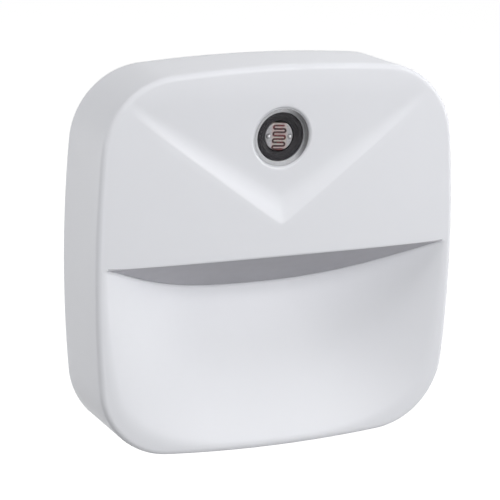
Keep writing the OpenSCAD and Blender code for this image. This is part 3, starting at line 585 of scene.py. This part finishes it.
class Paint:
    """The nodes of a material or of the world: one method adds any node, and the rest are named
    uses of it."""

    def __init__(self, owner):
        self.owner = owner
        owner.use_nodes = True
        self.tree = owner.node_tree
        self.tree.nodes.clear()

    def node(self, kind, settings=None, inputs=None):
        """Adds a node: its settings first, then the values or links of its sockets."""
        made = self.tree.nodes.new(kind)
        for key, value in (settings or {}).items():
            setattr(made, key, value)
        for key, value in (inputs or {}).items():
            if isinstance(value, Value):
                self.tree.links.new(value.socket, made.inputs[key])
            else:
                made.inputs[key].default_value = value
        return Node(self, made)

    def spot(self, scale=(1, 1, 1), move=(0, 0, 0)):
        """Object coordinates, scaled and then moved."""
        return self.node("ShaderNodeMapping", {"vector_type": "POINT"}, {
            "Vector": self.node("ShaderNodeTexCoord").out("Object"),
            "Scale": scale, "Location": move}).out("Vector")

    def about(self, x, z):
        """Object coordinates without their depth, about a line along Y through x and z in mm."""
        return self.spot(scale=(1, 0, 1), move=(-x * MM, 0, -z * MM))

    def along(self, axis):
        """One of the object coordinates, in metres."""
        return self.node("ShaderNodeSeparateXYZ", {}, {0: self.spot()}).out(axis)

    def from_middle(self):
        """Distance to either side of the middle plane, in metres."""
        return self.node("ShaderNodeMath", {"operation": "ABSOLUTE"}, {0: self.along("X")}).out(0)

    def vector(self, operation, *values):
        """The number that a Vector Math node makes of its vectors."""
        return self.node("ShaderNodeVectorMath", {"operation": operation},
                         dict(enumerate(values))).out("Value")

    def noise(self, grain, detail=2.0, where=None, roughness=0.5):
        """Noise whose grains are about so many millimetres across."""
        return self.node("ShaderNodeTexNoise", {"noise_dimensions": "3D"},
                         {"Vector": where or self.spot(), "Scale": 1 / (grain * MM),
                          "Detail": detail, "Roughness": roughness}).out("Fac")

    def mix(self, factor, a, b):
        """A colour between a at 0 and b at 1."""
        a, b = (end if isinstance(end, Value) else (*end, 1.0) for end in (a, b))
        return self.node("ShaderNodeMix", {"data_type": "RGBA"}, {0: factor, 6: a, 7: b}).out(2)

    def bump(self, height, depth):
        """A normal from a height of 0 to 1 that stands for so many millimetres."""
        return self.node("ShaderNodeBump", {}, {"Height": height, "Distance": depth * MM}
                         ).out("Normal")

    def finish(self, shader, kind="ShaderNodeOutputMaterial"):
        """Leads a shader to the output."""
        self.node(kind, {}, {"Surface": shader})
        return self.owner

    def surface(self, **inputs):
        """The main shader. Names are its sockets with spaces as underscores."""
        return self.finish(self.node("ShaderNodeBsdfPrincipled", {}, {
            key.replace("_", " "): value for key, value in inputs.items()}).out(0))


def paint_for(name):
    """The nodes of a new material."""
    return Paint(bpy.data.materials.new(name))


def shades(colour, factor):
    """The same colour, lighter or darker."""
    return tuple(min(1.0, c * factor) for c in colour)


def moulded(name, colour, roughness=0.5, grain=0.22, relief=0.006, shine=0.5):
    """Moulded plastic: a fine spark eroded grain, with a slight drift of tone and gloss."""
    paint = paint_for(name)
    fine = paint.noise(grain, 3.0)
    broad = paint.noise(9.0, 2.0)
    tone = paint.mix(broad.between(0.35, 0.65), shades(colour, 0.997), shades(colour, 1.003))
    gloss = roughness + 0.05 * (fine - 0.5) + 0.02 * (broad - 0.5)
    return paint.surface(Base_Color=tone, Roughness=gloss, Specular_IOR_Level=shine,
                         Normal=paint.bump(fine, relief))


def drawn_metal(name, colour, roughness=0.28, along=(1, 0.06, 1)):
    """Drawn strip or wire: long fine scratches along it, and a slightly uneven tarnish."""
    paint = paint_for(name)
    lines = paint.noise(0.12, 3.0, paint.spot(scale=along))
    spots = paint.noise(3.0, 3.0)
    tone = paint.mix(spots.between(0.3, 0.7), shades(colour, 0.86), shades(colour, 1.05))
    return paint.surface(Base_Color=tone, Metallic=1.0,
                         Roughness=roughness + 0.14 * (lines - 0.5) + 0.08 * (spots - 0.5),
                         Normal=paint.bump(lines, 0.004))


# ---- pieces ----


class NIGHTLIGHT_OT_front_cover(bpy.types.Operator):
    """Front shell with its V recess, ledge, scoop, sensor bore and diffuser opening"""

    bl_idname = "night_light.front_cover"
    bl_label = "Front cover"

    # Steps of the outline's end, corner and side arcs, and of the front's rows from the foot to the
    # top, outside and inside.
    outline_steps = (70, 40, 26)
    outer_steps = [60, 10, 10, 10, 6, 10, 6, 12, 12, 24]
    inner_steps = [20, 4, 3, 4, 2, 6, 2, 4, 4, 8]

    def execute(self, context):
        s = sizes()
        shell = Shell(s)
        quarter = shell.quarter(*self.outline_steps)
        outer = front_grid(shell, quarter, s.front_round, 0.0, self.outer_steps)
        inner = front_grid(shell, quarter, s.wall, s.wall, self.inner_steps)
        wrap = self.sides(shell, quarter)
        shape = mesh_from("front_cover", [
            (place(shell.flared(outer)), grid_faces(*outer.shape[:2])),
            (place(shell.flared(wrap)), grid_faces(*wrap.shape[:2], wrap_cols=True)),
            (place(shell.flared(inner)), grid_faces(*inner.shape[:2])),
        ])
        shape = combine("DIFFERENCE", shape, self.bore(shell), self.opening(shell))
        shade(shape, 32)
        piece("front_shell", shape, moulded("shell_plastic", colours().shell, 0.48),
              ["front_cover"])
        return {"FINISHED"}

    def sides(self, shell, quarter):
        """Rings of the outline, each drawn in and at a depth: from the front's edge over its
        rounding, the side, the rear edge and the rear cover's seat to the inside's edge."""
        s = shell.s
        front_x, front_z = outline_loop(quarter, s.front_round).T
        inner_x, inner_z = outline_loop(quarter, s.wall).T
        start = shell.depth(front_x, front_z)
        flat = np.zeros(len(start))
        end, seat = s.body_depth - GAP, s.body_depth - s.rear_thickness
        rings = [(aside, start + back) for aside, back in rounding(s.front_round, 8)]
        rings += [(0.0, end * f + (1 - f) * (start + s.front_round)) for f in (0.25, 0.5, 0.75)]
        rings += [(back, flat + end - aside) for aside, back in rounding(s.rear_round, 4)]
        rings += [(s.rim_wall, flat + end), (s.rim_wall, flat + seat), (s.wall, flat + seat),
                  (s.wall, shell.depth(inner_x, inner_z, s.wall))]
        return np.stack([np.insert(outline_loop(quarter, inset), 1, depth, axis=1)
                         for inset, depth in rings])

    def bore(self, shell):
        """Cutter for the stepped bore: a rounded edge, the window's seat, a cone from the seat to
        the tube, and the tube's way."""
        s = shell.s
        face, _, _, lean = sensor_stack(shell)
        seat, r = face + s.window_thickness + SEAT_GAP, s.window_round
        wide, narrow = s.window_diameter / 2 + GAP, s.tube_diameter / 2 + GAP
        outside, inside, rest = -1.0, s.body_depth * 0.4, 0.2
        edge = arc_profile((wide + r, face + r), r, -95, -180, 10)
        edge[0, 1] = outside
        profile = [(0, outside, 1), *[(x, y, 1) for x, y in edge], (wide, seat, 1),
                   (wide - rest, seat, 1), (narrow, seat + s.seat_slope, 1),
                   (narrow, inside, 0), (0, inside, 0)]
        return mesh_from("bore", [
            turned(profile, (0, s.sensor_height), segments=128, closed=False, lean=lean)])

    def opening(self, shell):
        """Cutter for the diffuser's opening: the lens outline carried across the underside."""
        s = shell.s
        beyond = 1.0
        x, front, curve = shell.lens(s.lip_front, s.lip_rear, steps=160)
        return mesh_from("opening", slab(shell, x, front, curve, -beyond, s.wall + beyond))


class NIGHTLIGHT_OT_light_diffuser(bpy.types.Operator):
    """Milky diffuser that fills the opening under the ledge, with its flange behind the wall"""

    bl_idname = "night_light.light_diffuser"
    bl_label = "Light diffuser"

    def execute(self, context):
        s = sizes()
        shell = Shell(s)
        behind, flange, overlap, rounding = s.wall + SEAT_GAP, 0.8, 0.4, 0.12
        flange_start, flange_reach = 1.48, 0.3
        x, front, curve = shell.lens(s.lip_front + GAP, s.lip_rear + GAP, steps=120)
        plate = slab(shell, x, front, curve, 0.0, behind + overlap, edge=rounding)
        x, front, curve = shell.lens(flange_start, s.lip_rear - flange_reach, steps=120)
        back = slab(shell, x, front, curve, behind, behind + flange)
        shape = combine("UNION", mesh_from("plate", plate), mesh_from("flange", back))
        shade(shape, 30)
        piece("diffuser_plate", shape, self.milky(colours().diffuser),
              ["light_diffuser"])
        return {"FINISHED"}

    def milky(self, colour):
        """Cloudy milky plastic whose grey is partly painted shade of the ledge, with painted light
        that makes it a little darker in the middle and lighter towards both tips, where the scoop
        throws light back.
        """
        paint = paint_for("milky_diffuser")
        cloud = paint.noise(2.5, 2.0)
        fine = paint.noise(0.15, 2.0)
        # Painted light: lighter towards both tips, standing for light thrown back by the scoop.
        bounce_light_to_tip = paint.from_middle().between(4.0 * MM, 28.0 * MM)
        tone = paint.mix(cloud.between(0.3, 0.7),
                         paint.mix(bounce_light_to_tip, shades(colour, 0.94), shades(colour, 1.10)),
                         paint.mix(bounce_light_to_tip, shades(colour, 0.98), shades(colour, 1.14)))
        return paint.surface(Base_Color=tone, Roughness=0.42 + 0.06 * (fine - 0.5),
                             Normal=paint.bump(fine, 0.003))


class NIGHTLIGHT_OT_sensor_window(bpy.types.Operator):
    """Clear round window, flush with the recess, with a rounded rim that carries painted shade at
    its right
    """

    bl_idname = "night_light.sensor_window"
    bl_label = "Sensor window"

    def execute(self, context):
        s = sizes()
        shell = Shell(s)
        face, _, _, lean = sensor_stack(shell)
        r, back = s.window_diameter / 2, face + s.window_thickness
        # The rim's width, its fall at the edge in degrees, and the chamfer at the back.
        rim_width, rim_fall, chamfer = 0.75, 25, 0.03
        curve = rim_width / math.sin(math.radians(rim_fall))
        profile = np.concatenate([
            [(0.0, face), (r * 0.5, face)],
            arc_profile((r - rim_width, face + curve), curve, -90, rim_fall - 90, 10),
            [(r, back - chamfer), (r - chamfer, back), (0.0, back)],
        ])
        shape = mesh_from("window", [
            turned(profile, (0, s.sensor_height), segments=128, closed=False, lean=lean)])
        shade(shape, 30)
        piece("window_disc", shape, self.clear(s, r), ["sensor_window"])
        return {"FINISHED"}

    def clear(self, s, r):
        """Clear plastic of radius r. It covers a twelfth of what is behind it, more over its rim,
        most at the right of the rim, and its very edge shows as a line. The extra cover at the right
        of the rim is painted shade, standing for the shadow in the bore there."""
        paint = paint_for("clear_window")
        haze = paint.noise(1.2, 2.0)
        where = paint.about(0, s.sensor_height - s.plug_height)
        out = paint.vector("LENGTH", where)
        rightwards = paint.vector("DOT_PRODUCT", where, (0.97, 0.0, 0.25))
        # Painted shade: the rim covers more towards its right, where the bore's edge would shade the
        # seat.
        painted_right_shade = rightwards.between(0.25 * r * MM, 0.95 * r * MM)
        line = out.between((r - 0.2) * MM, r * MM)
        rim = out.between((r - 1.1) * MM, (r - 0.5) * MM)
        cover = 0.08 + 0.01 * (haze - 0.5) + rim * (0.04 + 0.31 * painted_right_shade) + 0.08 * line
        made = paint.surface(Base_Color=(0.02, 0.02, 0.02, 1.0), Roughness=0.06 + 0.04 * haze,
                             Alpha=cover, IOR=1.49)
        made.surface_render_method = "BLENDED"
        return made


class NIGHTLIGHT_OT_sensor_tube(bpy.types.Operator):
    """Black tube that keeps stray light from the photoresistor"""

    bl_idname = "night_light.sensor_tube"
    bl_label = "Sensor tube"

    def execute(self, context):
        s = sizes()
        shell = Shell(s)
        _, mouth, cell, lean = sensor_stack(shell)
        r, wall, outer_round, inner_round = s.tube_diameter / 2, 0.8, 0.15, 0.12
        collar, collar_end, bore, end = 2.65, mouth + 2.6, r - wall, rear_of("sensor_tube")
        rim = np.concatenate([
            arc_profile((r - outer_round, mouth + outer_round), outer_round, 0, -90, 5),
            arc_profile((bore + inner_round, mouth + inner_round), inner_round, -90, -180, 4),
        ])
        # The funnel down to the collar that holds the cell, the collar, and the bore behind it.
        inner = [(bore, mouth + 0.25), (bore - 0.1, mouth + 0.32), (collar + 0.06, cell - 0.04),
                 (collar, cell + 0.02), (collar, collar_end), (bore, collar_end), (bore, end),
                 (r, end)]
        profile = [(*point, 1) for point in rim] + [(*point, 0) for point in inner]
        shape = mesh_from("tube", [
            turned(profile, (0, s.sensor_height), segments=96, closed=True, lean=lean)])
        shade(shape, 35)
        made = moulded("tube_plastic", colours().tube, 0.4, grain=0.3, relief=0.003, shine=0.2)
        piece("sensor_sleeve", shape, made, ["sensor_tube"])
        return {"FINISHED"}


class NIGHTLIGHT_OT_photoresistor(bpy.types.Operator):
    """Photoresistor: ceramic disc with two flats, serpentine track and two leads"""

    bl_idname = "night_light.photoresistor"
    bl_label = "Photoresistor"

    # How it is turned in the tube, and in millimetres its disc's radius, half its width over the
    # flats, its thickness, and how far each lead is from its middle.
    turn = math.radians(4)
    radius = 2.5
    flat = 2.15
    thickness = 1.6
    lead_aside = 1.95

    def execute(self, context):
        s = sizes()
        _, _, cell, _ = sensor_stack(Shell(s))
        self.body(cell, s)
        self.track(cell, s)
        self.leads(cell, s)
        return {"FINISHED"}

    def turned_in(self, x, z):
        """x and z about the tube's line, turned as the cell sits in it, from its own x and z."""
        c, s = math.cos(self.turn), math.sin(self.turn)
        return x * c + z * s, z * c - x * s

    def body(self, cell, s):
        """A disc cut by two flats: its radius, or the flats' distance over the sine of the angle
        where that is less, with a rounded front edge."""
        a = np.linspace(0, 2 * math.pi, 160, endpoint=False)
        edge = np.minimum(self.radius, self.flat / np.maximum(np.abs(np.sin(a)), 1e-6))
        across, up = self.turned_in(edge * np.cos(a), edge * np.sin(a))
        # Share of the edge's distance from the middle, and depth behind the disc's front.
        levels = [(0.0, 0.0), (0.5, 0.0), (0.9, 0.0), (0.955, 0.02), (0.985, 0.06), (1.0, 0.16),
                  (1.0, self.thickness), (0.0, self.thickness)]
        grid = np.stack([np.stack([across * k, np.full_like(a, cell + d),
                                   s.sensor_height + up * k], 1) for k, d in levels])
        shape = mesh_from("cell", [(place(grid), grid_faces(len(levels), len(a), True))])
        shade(shape, 40)
        piece("cell_disc", shape, self.ceramic(colours().ceramic, s),
              ["photoresistor_body"])

    def ceramic(self, colour, s):
        """Grainy ceramic, reddish behind the track, with painted shade in a dark ring round each
        lead, where it sinks into the disc.
        """
        paint = paint_for("cell_ceramic")
        grains = paint.noise(0.25, 4.0, roughness=0.7)
        patch = paint.noise(1.4, 2.0)
        tone = paint.mix(grains.between(0.3, 0.7), shades(colour, 0.78), shades(colour, 1.22))
        blush = paint.mix(patch.between(0.4, 0.6), (0.66, 0.51, 0.51), (0.64, 0.62, 0.56))
        tone = paint.mix(paint.from_middle().between(1.1 * MM, 1.6 * MM), blush, tone)
        # Painted shade: a dark ring on the ceramic round each lead, standing for the hollow round
        # the wire.
        for own in (-self.lead_aside, self.lead_aside):
            x, z = self.turned_in(own, 0.0)
            near = paint.vector("LENGTH", paint.about(x, z + (s.sensor_height - s.plug_height)))
            tone = paint.mix(near.between(0.35 * MM, 0.5 * MM), shades(colour, 0.1), tone)
        return paint.surface(Base_Color=tone, Roughness=0.3 + 0.2 * (patch - 0.5),
                             Normal=paint.bump(grains, 0.01))

    def track(self, cell, s):
        """A flat domed ribbon along one line of eight runs joined by half turns, whose section is
        width / 2 * cos b aside and height * sin b forwards."""
        runs, pitch, field, drop = 8, 0.57, 2.2, 0.2
        width, height, sunk = 0.34, 0.07, 0.02
        bend = pitch / 2
        half = field / 2 - bend
        path = []
        angles = np.radians(np.linspace(-90, 90, 13)[1:-1])
        for i in range(runs):
            z = (i - (runs - 1) / 2) * pitch
            way = -1 if i % 2 == 0 else 1
            path += [(-way * half * (1 - 2 * f), z - drop) for f in np.linspace(0, 1, 9)]
            if i < runs - 1:
                path += [(way * (half + bend * math.cos(b)), z - drop + bend + bend * math.sin(b))
                         for b in angles]
        path = np.stack(self.turned_in(*np.array(path).T), 1)
        ahead = np.gradient(path, axis=0)
        ahead /= np.linalg.norm(ahead, axis=1)[:, None]
        side = np.stack([-ahead[:, 1], ahead[:, 0]], 1)
        ring = np.radians(np.linspace(0, 360, 12, endpoint=False))
        across = width / 2 * np.cos(ring)
        grid = np.stack([
            path[:, :1] + side[:, :1] * across,
            np.broadcast_to(cell - sunk - height * np.sin(ring), (len(path), len(ring))),
            s.sensor_height + path[:, 1:] + side[:, 1:] * across,
        ], -1)
        ends = [np.broadcast_to(grid[i].mean(0), grid[i].shape) for i in (0, -1)]
        grid = np.concatenate([[ends[0]], grid, [ends[1]]])
        shape = mesh_from("track", [(place(grid), grid_faces(*grid.shape[:2], wrap_cols=True))])
        shade(shape, 60)
        piece("cell_serpentine", shape, self.film(colours().track),
              ["photoresistor_track"])

    def film(self, colour):
        """Dark speckled red film with redder patches."""
        paint = paint_for("cell_track")
        speckle = paint.noise(0.3, 3.0)
        patch = paint.noise(0.9, 1.0)
        tone = paint.mix(speckle.between(0.35, 0.7), shades(colour, 0.15), shades(colour, 0.8))
        tone = paint.mix(patch.between(0.48, 0.6), tone, shades(colour, 2.0))
        return paint.surface(Base_Color=tone, Roughness=0.45 + 0.2 * (speckle - 0.5),
                             Normal=paint.bump(speckle, 0.008))

    def leads(self, cell, s):
        """Two round wires with domed heads in front of the disc."""
        head, wire, lift = 0.36, 0.23, 0.03
        under_head, end = cell - 0.005, rear_of("photoresistor_leads")
        profile = np.concatenate([
            arc_profile((0.0, cell - lift), head, -90, 0, 6),
            [(head, under_head), (wire, under_head), (wire, end), (0.0, end)],
        ])
        patches = []
        for own in (-self.lead_aside, self.lead_aside):
            x, z = self.turned_in(own, 0.0)
            patches.append(turned(profile, (x, s.sensor_height + z), segments=32, closed=False))
        shape = mesh_from("leads", patches)
        shade(shape, 40)
        piece("cell_wires", shape, drawn_metal("tinned_wire", (0.66, 0.66, 0.68), 0.5),
              ["photoresistor_leads"])


class NIGHTLIGHT_OT_plug_and_rear(bpy.types.Operator):
    """Finishes of the rear cover and the two plug blades"""

    bl_idname = "night_light.plug_and_rear"
    bl_label = "Plug and rear cover"

    def execute(self, context):
        cover = moulded("cover_plastic", shades(colours().shell, 0.98), 0.55, relief=0.008)
        dress("rear_cover", cover)
        blade = drawn_metal("blade_metal", colours().blade)
        dress("blade_left", blade)
        dress("blade_right", blade)
        return {"FINISHED"}


class NIGHTLIGHT_OT_hidden_parts(bpy.types.Operator):
    """Finishes of the boards and the parts on them"""

    bl_idname = "night_light.hidden_parts"
    bl_label = "Boards and parts"

    def execute(self, context):
        dress("main_board", self.laminate("board_mask", colours().board))
        dress("light_board", self.laminate("board_white", (0.82, 0.82, 0.8)))
        dress("board_screws", drawn_metal("screw_steel", (0.6, 0.6, 0.62), 0.3))
        dress("solder_joints", drawn_metal("solder", (0.66, 0.67, 0.69), 0.22, (1, 1, 1)))
        dress("leds", self.led())
        dress("film_capacitor", moulded("film_case", (0.66, 0.42, 0.03), 0.4))
        dress("smoothing_capacitor", moulded("sleeve", (0.02, 0.025, 0.05), 0.25))
        dress("fusible_resistor", moulded("flame_proof", (0.12, 0.2, 0.22), 0.7, 0.4, 0.02))
        dress("bleed_resistor", moulded("lacquer", (0.5, 0.32, 0.14), 0.35))
        for node in ("bridge_rectifier", "transistor", "zener_diode", "chip_resistors"):
            dress(node, moulded("package_" + node, (0.018, 0.018, 0.02), 0.55))
        return {"FINISHED"}

    def laminate(self, name, colour):
        """Solder mask over woven glass: two crossed sets of fine threads show faintly."""
        paint = paint_for(name)
        threads = [paint.node("ShaderNodeTexWave", {"wave_type": "BANDS", "bands_direction": way},
                              {"Vector": paint.spot(), "Scale": 420.0, "Distortion": 0.4}
                              ).out("Fac") for way in ("X", "Z")]
        weave = 0.5 * (threads[0] + threads[1])
        tone = paint.mix(weave, shades(colour, 0.85), shades(colour, 1.12))
        return paint.surface(Base_Color=tone, Roughness=0.3 + 0.1 * weave,
                             Normal=paint.bump(weave, 0.006))

    def led(self):
        """White package with a yellow phosphor in its lowest part."""
        paint = paint_for("led_package")
        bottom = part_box("leds")[0].z
        package = paint.along("Z").between(bottom + 0.34 * MM, bottom + 0.36 * MM)
        grain = paint.noise(0.2, 2.0)
        tone = paint.mix(package, (0.8, 0.68, 0.2), (0.84, 0.84, 0.82))
        return paint.surface(Base_Color=tone, Roughness=0.4 + 0.1 * (grain - 0.5),
                             Normal=paint.bump(grain, 0.003))


# ---- the stage ----


# The camera's azimuth, elevation and roll in degrees, its distance from its target and the target's
# X and Y in metres.
CAMERA_ANGLES = (-24.897, 14.741, 1.444)
CAMERA_DISTANCE = 0.3943
CAMERA_TARGET = (0, -0.016)

# The width of its view in points, its focal length and the target's place from the view's top left
# corner in the same points, and the width of its sensor in millimetres.
POINTS = 500
FOCAL_POINTS = 2356.76
TARGET_POINTS = (279.98, 261.49)
SENSOR_WIDTH = 36.0

# The floor's height and half its width in metres, and how brightly it shows to the camera.
FLOOR_HEIGHT = -0.25
FLOOR_HALF = 3.0
FLOOR_GLOW = 0.98

# Name, azimuth and elevation in degrees, distance in metres, watts and width in metres.
LAMPS = [
    ("key_right", 22, 25, 0.5, 1.41, 0.25),
    ("key_left", -30, 25, 1.0, 2.0, 0.5),
    ("left_above", -80, 62, 1.0, 3.9, 0.5),
    ("right", 82, 8, 1.0, 4.2, 0.5),
    ("left_behind", -130, -8, 1.0, 3.7, 0.5),
    ("right_behind", 140, 42, 1.0, 1.4, 0.5),
]
LAMP_TARGET = (0, -0.012, -0.009)


def towards(azimuth, elevation):
    """The direction with these angles in radians: (sin a cos e, -cos a cos e, sin e)."""
    return Vector((math.sin(azimuth) * math.cos(elevation), -math.cos(azimuth) * math.cos(elevation),
                   math.sin(elevation)))


class NIGHTLIGHT_OT_stage(bpy.types.Operator):
    """Pale floor and surround, soft lamps and the camera"""

    bl_idname = "night_light.stage"
    bl_label = "Stage"

    def execute(self, context):
        scene = context.scene
        self.floor()
        self.world(scene)
        for lamp in LAMPS:
            self.lamp(*lamp)
        self.camera(scene)
        scene.view_settings.view_transform = "Standard"
        return {"FINISHED"}

    def floor(self):
        """One large flat square below the light. Its own glow shows only to the camera, in gloss
        and through clear plastic, and the lamps light it as they light the pieces."""
        mesh = bpy.data.meshes.new("floor")
        mesh.from_pydata([(x * FLOOR_HALF, y * FLOOR_HALF, FLOOR_HEIGHT)
                          for x, y in ((-1, -1), (1, -1), (1, 1), (-1, 1))], [], [(0, 1, 2, 3)])
        obj = bpy.data.objects.new("floor", mesh)
        bpy.context.scene.collection.objects.link(obj)
        paint = paint_for("floor_paper")
        colour = colours().floor
        grain = paint.noise(3.0, 3.0)
        lit = paint.node("ShaderNodeBsdfDiffuse", {}, {
            "Color": paint.mix(grain, shades(colour, 0.99), shades(colour, 1.01))}).out(0)
        glow = paint.node("ShaderNodeEmission", {}, {
            "Color": (1, 1, 1, 1), "Strength": FLOOR_GLOW * self.seen(paint)}).out(0)
        mesh.materials.append(paint.finish(
            paint.node("ShaderNodeAddShader", {}, {0: lit, 1: glow}).out(0)))

    def seen(self, paint):
        """1 for rays from the camera, off gloss or through clear plastic, and 0 for others."""
        rays = paint.node("ShaderNodeLightPath")
        total = (rays.out("Is Camera Ray") + rays.out("Is Glossy Ray")
                 + rays.out("Is Transmission Ray"))
        return paint.node("ShaderNodeMath", {"operation": "MINIMUM"}, {0: total, 1: 1.0}).out(0)

    def world(self, scene):
        """A white surround for the camera, gloss and clear plastic. The lamps alone light the
        rest."""
        scene.world = bpy.data.worlds.new("studio")
        paint = Paint(scene.world)
        ground = paint.node("ShaderNodeBackground", {}, {
            "Color": (1, 1, 1, 1), "Strength": self.seen(paint)}).out(0)
        paint.finish(ground, "ShaderNodeOutputWorld")

    def lamp(self, name, azimuth, elevation, distance, power, size):
        """A soft square lamp that faces the middle of the shell. Azimuth 0 is in front of it and
        90 to its right."""
        data = bpy.data.lights.new(name, "AREA")
        data.shape, data.size, data.energy = "SQUARE", size, power
        obj = bpy.data.objects.new(name, data)
        bpy.context.scene.collection.objects.link(obj)
        way = towards(math.radians(azimuth), math.radians(elevation))
        obj.location = Vector(LAMP_TARGET) + way * distance
        obj.rotation_euler = way.to_track_quat("Z", "Y").to_euler()

    def camera(self, scene):
        """The camera stands to the left of the light and a little above it."""
        azimuth, elevation, roll = (math.radians(v) for v in CAMERA_ANGLES)
        back = towards(azimuth, elevation)
        right = Vector((math.cos(azimuth), math.sin(azimuth), 0))
        up = back.cross(right)
        right, up = (right * math.cos(roll) + up * math.sin(roll),
                     up * math.cos(roll) - right * math.sin(roll))
        data = bpy.data.cameras.new("camera")
        data.lens, data.sensor_width = FOCAL_POINTS * SENSOR_WIDTH / POINTS, SENSOR_WIDTH
        data.shift_x = -(TARGET_POINTS[0] - POINTS / 2) / POINTS
        data.shift_y = (TARGET_POINTS[1] - POINTS / 2) / POINTS
        data.clip_start, data.clip_end = 0.01, 20.0
        obj = bpy.data.objects.new("camera", data)
        scene.collection.objects.link(obj)
        turn = Matrix((right, up, back)).transposed().to_4x4()
        target = Vector((*CAMERA_TARGET, -sizes().plug_height * MM))
        obj.matrix_world = Matrix.Translation(target + back * CAMERA_DISTANCE) @ turn
        scene.camera = obj


STEPS = [
    NIGHTLIGHT_OT_front_cover,
    NIGHTLIGHT_OT_light_diffuser,
    NIGHTLIGHT_OT_sensor_window,
    NIGHTLIGHT_OT_sensor_tube,
    NIGHTLIGHT_OT_photoresistor,
    NIGHTLIGHT_OT_plug_and_rear,
    NIGHTLIGHT_OT_hidden_parts,
    NIGHTLIGHT_OT_stage,
]


class NIGHTLIGHT_PT_panel(bpy.types.Panel):
    """Lists the steps of the night light"""

    bl_idname = "NIGHTLIGHT_PT_panel"
    bl_label = "Night light"
    bl_space_type = "VIEW_3D"
    bl_region_type = "UI"
    bl_category = "Night light"

    def draw(self, context):
        for step in STEPS:
            self.layout.operator(step.bl_idname)
        for group in (context.scene.night_light_sizes, context.scene.night_light_colours):
            box = self.layout.box()
            for name in group.__annotations__:
                box.prop(group, name)


CLASSES = [NightLightSizes, NightLightColours, *STEPS, NIGHTLIGHT_PT_panel]


def register():
    """Makes the classes, the sizes and the colours known."""
    for cls in CLASSES:
        bpy.utils.register_class(cls)
    bpy.types.Scene.night_light_sizes = bpy.props.PointerProperty(type=NightLightSizes)
    bpy.types.Scene.night_light_colours = bpy.props.PointerProperty(type=NightLightColours)


def unregister():
    """Takes them away again."""
    del bpy.types.Scene.night_light_colours
    del bpy.types.Scene.night_light_sizes
    for cls in reversed(CLASSES):
        bpy.utils.unregister_class(cls)


def main():
    """Builds every piece and the stage."""
    register()
    for step in STEPS:
        group, name = step.bl_idname.split(".")
        getattr(getattr(bpy.ops, group), name)()


if __name__ == "__main__":
    main()
